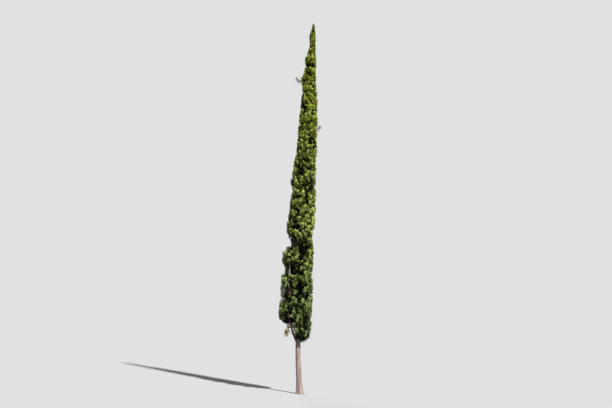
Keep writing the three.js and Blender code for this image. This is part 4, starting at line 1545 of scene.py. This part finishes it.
def build_world():
    """A dim world that lights the tree, and a pale backdrop, as light as the floor, that only the camera
    sees."""
    world = bpy.data.worlds.new("studio")
    world.use_nodes = True
    nodes, links = world.node_tree.nodes, world.node_tree.links
    background = nodes["Background"]
    background.inputs["Color"].default_value = WORLD_COLOUR
    background.inputs["Strength"].default_value = WORLD_STRENGTH
    backdrop = nodes.new("ShaderNodeBackground")
    backdrop.inputs["Color"].default_value = BACKDROP_COLOUR
    path = nodes.new("ShaderNodeLightPath")
    chosen = nodes.new("ShaderNodeMixShader")
    links.new(path.outputs["Is Camera Ray"], chosen.inputs["Fac"])
    links.new(background.outputs["Background"], chosen.inputs[1])
    links.new(backdrop.outputs["Background"], chosen.inputs[2])
    links.new(chosen.outputs["Shader"], nodes["World Output"].inputs["Surface"])
    return world


bpy.context.scene.world = build_world()
bpy.context.scene.view_settings.view_transform = "Standard"

# %% Lights
KEY_STRENGTH = 8.3
KEY_DISC = 2.5
KEY_TOWARDS = (-0.53, 0.82, -0.82)
KEY_COLOUR = (1.0, 0.95, 0.88)
FILL_STRENGTH = 1.5
FILL_DISC = 30.0
FILL_TOWARDS = (0.35, -1.0, -0.5)
WHITE = (1.0, 1.0, 1.0)


def add_sun(name, strength, disc_degrees, towards, colour):
    """A sun lamp that shines along one direction."""
    lamp = bpy.data.lights.new(name, "SUN")
    lamp.energy = strength
    lamp.angle = math.radians(disc_degrees)
    lamp.color = colour
    sun = bpy.data.objects.new(name, lamp)
    bpy.context.scene.collection.objects.link(sun)
    sun.rotation_euler = Vector(towards).to_track_quat("-Z", "Y").to_euler()


add_sun("key", KEY_STRENGTH, KEY_DISC, KEY_TOWARDS, KEY_COLOUR)
add_sun("fill", FILL_STRENGTH, FILL_DISC, FILL_TOWARDS, WHITE)
print("lamps:", len(bpy.data.lights))

# %% Camera
EYE = (0.0, -37.0, 2.8)
LOOK_AT = (-0.22, 0.0, 7.72)
LENS = 53.0
FARTHEST = 2000.0
ROLL_DEGREES = 3.55


def add_camera():
    """A camera at the eye point that looks at the middle of the tree, then rolls about its own axis."""
    lens = bpy.data.cameras.new("camera")
    lens.lens = LENS
    lens.clip_end = FARTHEST
    camera = bpy.data.objects.new("camera", lens)
    bpy.context.scene.collection.objects.link(camera)
    camera.location = EYE
    facing = (Vector(LOOK_AT) - Vector(EYE)).to_track_quat("-Z", "Y")
    roll = Quaternion((0, 0, 1), math.radians(ROLL_DEGREES))
    camera.rotation_euler = (facing @ roll).to_euler()
    return camera


bpy.context.scene.camera = add_camera()
print("distance from the camera to the trunk:", round(math.dist(EYE[:2], (0, 0)), 1), "m")

# %% [markdown]
# ## Measure and finish
#
# The looks must keep within the space of the solids, or the model would touch things in a simulation that it
# seems to clear, and the other way round. So the foliage is clipped to the box of the solids, and that box is
# printed here.

# %% Measure and finish
print("box of the solids:", [[round(part, 3) for part in corner] for corner in cad_box])
